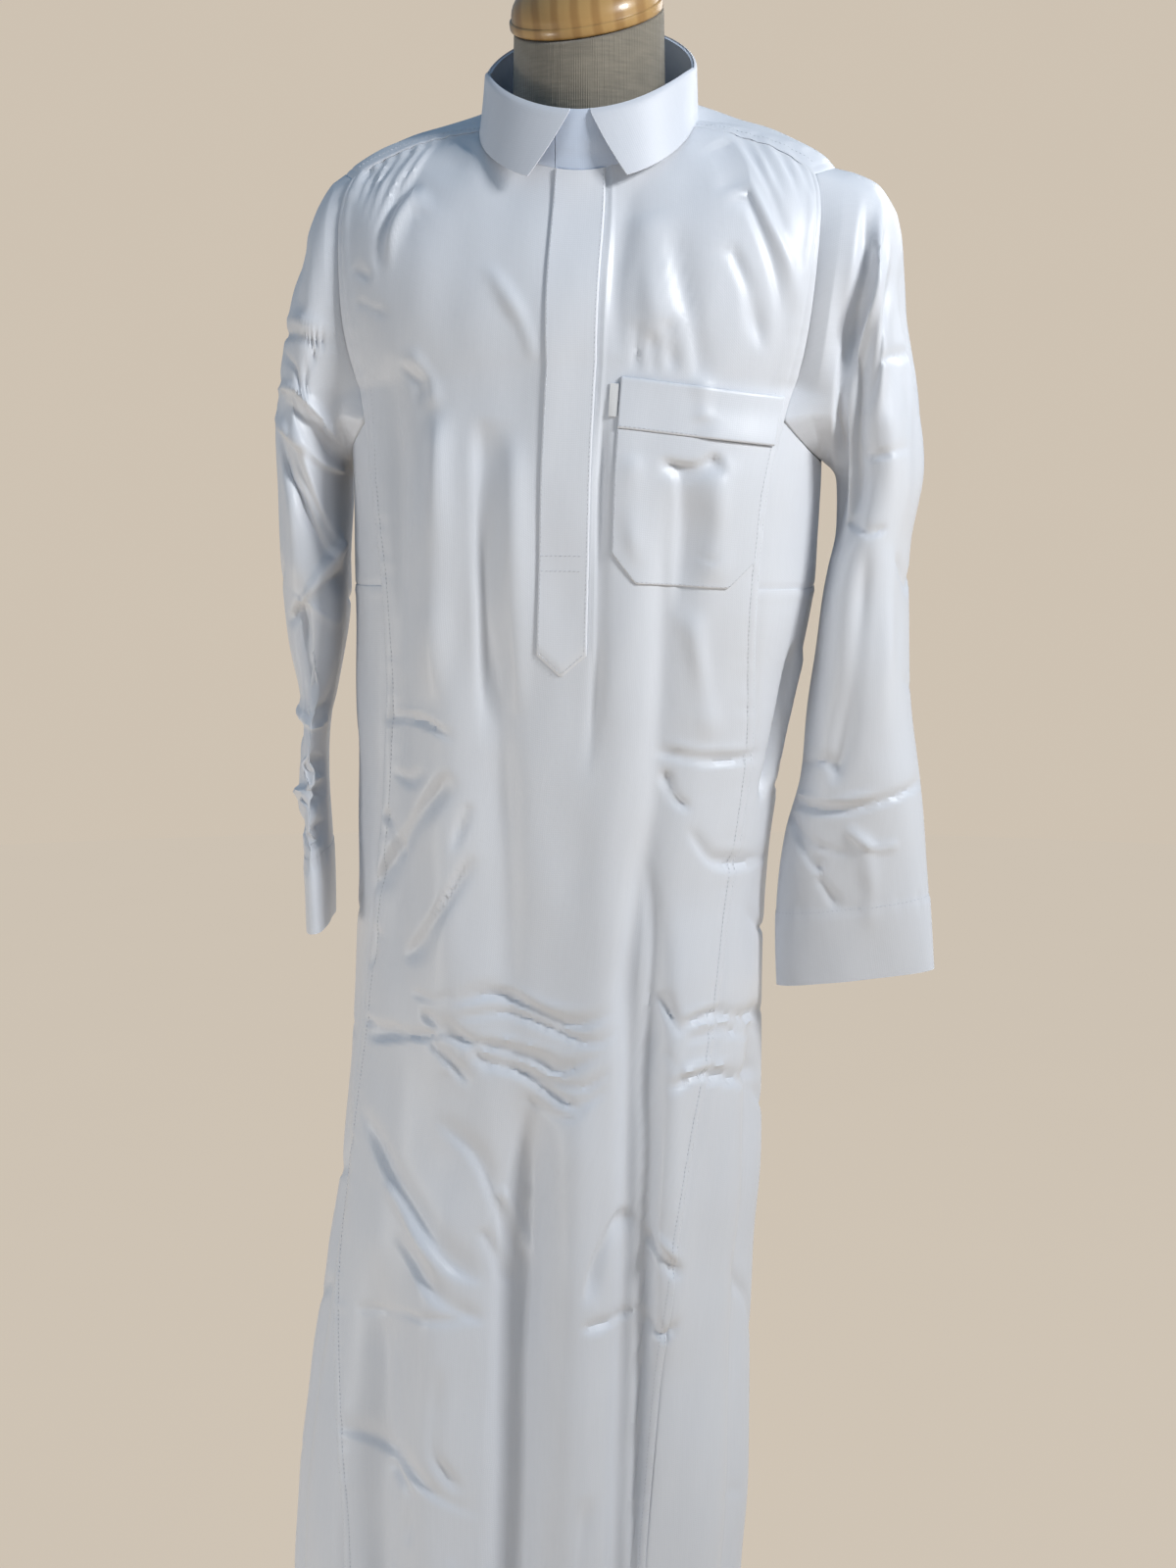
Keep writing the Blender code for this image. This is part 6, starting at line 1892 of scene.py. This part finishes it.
@dataclass
class DressForm:
    """Linen neck block, turned wooden cap, pole and base."""

    linen: Material
    wood: Material
    metal: Material
    neck_x: float = -0.003
    neck_radius: float = 0.0610
    neck_top_z: float = 1.617
    top_tilt: float = 22.0
    top_roll: float = 6.5
    foot_tilt: float = 0.45
    foot_drop: float = 0.010
    rim_radius: float = 0.0630
    rim_height: float = 0.009
    cap_height: float = 0.034
    pole_radius: float = 0.016

    def turned(self, name: str, profile: list[tuple[float, float]],
               material: Material) -> Thing:
        """Turn a profile about the upright axis.

        Args:
            name: Name of the piece.
            profile: Pairs of radius and height.
            material: Its finish.

        Returns:
            The closed piece.
        """
        mesh = bpy.data.meshes.new(name)
        mesh.from_pydata([(radius, 0.0, height) for radius, height in profile],
                         [(k, k + 1) for k in range(len(profile) - 1)], [])
        thing = add_object(name, mesh)
        mesh.materials.append(material)
        edit_all()
        bpy.ops.mesh.spin(steps=96, angle=TURN, center=(0, 0, 0), axis=(0, 0, 1))
        bpy.ops.mesh.select_all(action="SELECT")
        bpy.ops.mesh.remove_doubles(threshold=0.00005)
        face_outwards()
        bpy.ops.object.shade_smooth_by_angle(angle=HARD_SMOOTH_ANGLE)
        return thing

    def settle(self, thing: Thing, node: str) -> None:
        """Apply a piece's place and let it stand for its solid."""
        activate(thing)
        bpy.ops.object.transform_apply(location=True, rotation=True, scale=True)
        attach(thing, "root")
        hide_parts(node)
        LOG.info("%s: %d faces", thing.name, len(thing.data.polygons))

    def add_neck(self) -> None:
        """Linen neck block between its slanted foot and its slanted top."""
        deselect()
        bpy.ops.mesh.primitive_cone_add(
            vertices=128, radius1=self.neck_radius + 0.003, radius2=self.neck_radius - 0.001, depth=0.20,
            location=(self.neck_x / 2, 0, 1.56))
        neck = bpy.context.object
        neck.name = "linen_neck"
        neck.data.materials.append(self.linen)
        bpy.ops.object.transform_apply(location=True, rotation=True, scale=True)
        slope_y, slope_x = math.tan(math.radians(self.top_tilt)), math.tan(math.radians(self.top_roll))
        edit_all()
        bpy.ops.mesh.bisect(plane_co=(0, 0, self.neck_top_z), plane_no=(-slope_x, -slope_y, 1),
                            use_fill=True, clear_outer=True)
        bpy.ops.mesh.select_all(action="SELECT")
        foot_z = ROBE.neck_z - self.foot_drop + 0.0004
        bpy.ops.mesh.bisect(plane_co=(0, 0, foot_z), plane_no=(0, -self.foot_tilt, 1),
                            use_fill=True, clear_inner=True)
        bpy.ops.mesh.select_all(action="SELECT")
        face_outwards()
        edge = neck.modifiers.new("edge", "BEVEL")
        edge.width = 0.0012
        edge.segments = 3
        edge.angle_limit = math.radians(40)
        bpy.ops.object.modifier_apply(modifier=edge.name)
        bpy.ops.object.shade_smooth_by_angle(angle=HARD_SMOOTH_ANGLE)
        self.settle(neck, "form_neck")

    def add_cap(self) -> None:
        """Turned wooden cap with a plain rim and a low dome."""
        rim, high = self.rim_radius, self.rim_height
        profile = [(0.0, high + self.cap_height)]
        for turn in range(84, -1, -6):
            angle = math.radians(turn)
            profile.append((rim * 0.965 * math.cos(angle), high + self.cap_height * math.sin(angle)))
        profile += [(rim * 0.968, high - 0.0006), (rim - 0.0012, high - 0.0006),
                    (rim - 0.0003, high - 0.0014), (rim, high - 0.0028), (rim, 0.0020),
                    (rim - 0.0006, 0.0008), (rim - 0.0016, 0.0), (0.0, 0.0)]
        cap = self.turned("wooden_neck_cap", profile, self.wood)
        slope = math.radians(self.top_tilt), math.radians(self.top_roll)
        cap.rotation_euler = (slope[0], -slope[1], 0.0)
        cap.location = (self.neck_x, -0.001, self.neck_top_z + 0.0006)
        self.settle(cap, "neck_cap")

    def add_stand(self) -> None:
        """Pole with a collar, and a low domed base."""
        low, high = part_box("pole")
        radius = self.pole_radius
        foot, top = low[2], high[2]
        profile = [(0.0, top), (radius - 0.001, top), (radius, top - 0.001), (radius, foot + 0.018),
                   (radius + 0.004, foot + 0.016), (radius + 0.006, foot + 0.012),
                   (radius + 0.006, foot + 0.001), (radius + 0.005, foot), (0.0, foot)]
        self.settle(self.turned("stand_pole", profile, self.metal), "pole")
        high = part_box("base")[1]
        reach, top = high[0], high[2]
        profile = [(0.0, top), (0.030, top), (0.034, top - 0.0006), (0.075, top - 0.0026),
                   (0.120, 0.019), (0.160, 0.0156), (reach - 0.010, 0.0124), (reach - 0.004, 0.0112),
                   (reach - 0.001, 0.0092), (reach, 0.0068), (reach, 0.0024),
                   (reach - 0.0008, 0.0008), (reach - 0.002, 0.0), (0.0, 0.0)]
        self.settle(self.turned("stand_base", profile, self.metal), "base")

    def build(self) -> None:
        """Build all and give the torso its linen."""
        self.add_neck()
        self.add_cap()
        self.add_stand()
        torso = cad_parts["form_torso"]
        for holder in torso.material_slots:
            holder.material = self.linen
        LOG.info("form_torso: linen")


@dataclass(frozen=True)
class Lamp:
    """A soft rectangular lamp aimed at the robe."""

    name: str
    place: tuple[float, float, float]
    aim: tuple[float, float, float]
    size: float
    power: float
    colour: tuple[float, float, float]

    def add(self) -> None:
        """Put the lamp in the scene."""
        deselect()
        bpy.ops.object.light_add(type="AREA", location=self.place)
        lamp = bpy.context.object
        lamp.name = self.name
        lamp.data.shape = "SQUARE"
        lamp.data.size = self.size
        lamp.data.energy = self.power
        lamp.data.color = self.colour
        away = np.array(self.place) - np.array(self.aim)
        flat = math.hypot(away[0], away[1])
        lamp.rotation_euler = (math.atan2(flat, away[2]), 0.0, math.atan2(away[0], -away[1]))


LAMPS = (
    Lamp("key_lamp", (1.85, -0.95, 2.45), (0.2, 0.0, 2.2), 0.50, 49.5, (0.98, 0.99, 1.0)),
    Lamp("low_lamp", (-1.9, -1.3, 0.40), (-0.10, 0.0, 0.40), 0.5, 11.5, (1.0, 0.975, 0.94)),
    Lamp("rim_lamp", (1.2, 2.2, 2.3), (0.0, 0.0, 1.2), 1.2, 13.0, (1.0, 0.98, 0.95)),
)


@dataclass
class Studio:
    """Plain warm backdrop and floor, soft lamps and the camera."""

    wall_colour: tuple = (0.624, 0.546, 0.451)
    sky_colour: tuple = (0.45, 0.70, 1.0)
    sky_power: float = 0.30
    azimuth: float = 8.0
    pitch: float = -8.0
    distance: float = 2.20
    height: float = 1.30
    image_height: float = 1600.0
    focal_pixels: float = 2684.0
    shift_pixels: float = -3.0
    sensor: float = 36.0

    def build(self) -> None:
        """Build floor, backdrop, lamps, sky and camera."""
        self.add_surfaces()
        for lamp in LAMPS:
            lamp.add()
        world = bpy.data.worlds.new("studio")
        world.use_nodes = True
        sky = world.node_tree.nodes["Background"]
        sky.inputs["Color"].default_value = (*self.sky_colour, 1.0)
        sky.inputs["Strength"].default_value = self.sky_power
        bpy.context.scene.world = world
        bpy.context.scene.view_settings.view_transform = "Standard"
        self.add_camera()
        LOG.info("studio: floor, wall, %d lamps, sky and camera", len(LAMPS))

    def add_surfaces(self) -> None:
        """Floor, and a round wall that neither shades nor lights the robe."""
        deselect()
        bpy.ops.mesh.primitive_plane_add(size=40.0, location=(0, 0, 0))
        floor = bpy.context.object
        floor.name = "studio_floor"
        floor.data.materials.append(PaintFinish("floor_paint", self.wall_colour, 0.08, 0.97).make())
        deselect()
        bpy.ops.mesh.primitive_cylinder_add(vertices=96, radius=6.0, depth=12.0, location=(0, 0, 5.9),
                                            end_fill_type="NOTHING")
        wall = bpy.context.object
        wall.name = "studio_wall"
        wall.data.materials.append(PaintFinish("wall_paint", self.wall_colour, 0.02, 0.99).make())
        wall.visible_shadow = False
        wall.visible_diffuse = False
        wall.visible_glossy = False
        bpy.ops.object.shade_smooth()

    def add_camera(self) -> None:
        """Camera where the photograph was taken from."""
        turn = math.radians(self.azimuth)
        deselect()
        bpy.ops.object.camera_add(
            location=(self.distance * math.sin(turn), -self.distance * math.cos(turn), self.height),
            rotation=(math.radians(90 + self.pitch), 0.0, turn))
        camera = bpy.context.object
        camera.name = "photo_camera"
        camera.data.sensor_width = self.sensor
        camera.data.lens = self.focal_pixels / self.image_height * self.sensor
        camera.data.shift_x = self.shift_pixels / self.image_height
        camera.data.clip_end = 60.0
        bpy.context.scene.camera = camera


def main() -> None:
    """Build the robe, its form and the studio, piece by piece."""
    logging.basicConfig(level=logging.INFO, format="%(name)s %(message)s")
    cloth = ClothFinish("white_satin_cotton", (0.765, 0.785, 0.825), (0.725, 0.748, 0.795)).make()
    crisp = ClothFinish("white_interlined_cotton", (0.70, 0.725, 0.775), (0.67, 0.695, 0.75),
                        roughness=0.46, sheen=0.15).make()
    # painted light: a lighter copy of the interlined cotton for the placket, standing in for the light that
    # falls on it
    painted_light = ClothFinish("interlined_cotton_painted_light", (0.83, 0.85, 0.89), (0.80, 0.82, 0.87),
                         roughness=0.46).make()
    # painted shade: a darker, bluer copy of the interlined cotton for the collar stand, which lies in shadow
    # under the leaf
    painted_shade = ClothFinish("interlined_cotton_painted_shade", (0.66, 0.735, 0.87), (0.62, 0.70, 0.84),
                         sheen=0.15).make()
    tab = ClothFinish("white_tab", (0.80, 0.80, 0.80), (0.76, 0.76, 0.76), roughness=0.55).make()
    linen = ClothFinish("form_linen", (0.33, 0.295, 0.235), (0.25, 0.222, 0.172), roughness=0.85, sheen=0.3,
                        threads=3400.0, relief=0.6, slubs=0.9, by_cut=False).make()
    # painted shade: white thread coloured darker than the cloth, standing in for the shade along the stitch
    # lines
    painted_shade_thread = ClothFinish("white_thread_painted_shade", (0.66, 0.68, 0.72), (0.60, 0.62, 0.67), sheen=0.1,
                         by_cut=False).make()
    DressForm(linen, WoodFinish().make(), MetalFinish().make()).build()
    panels = Panels(cloth)
    panels.build()
    sleeves = Sleeves(cloth)
    for side, label in SIDES:
        sleeves.add(side, label)
    collar = Collar(crisp, painted_shade)
    collar.build()
    trim = FrontTrim(panels, cloth, painted_light, tab)
    trim.add_placket()
    trim.add_pocket()
    Stitching(painted_shade_thread).sew(panels, sleeves, trim)
    Studio().build()


if __name__ == "__main__":
    main()
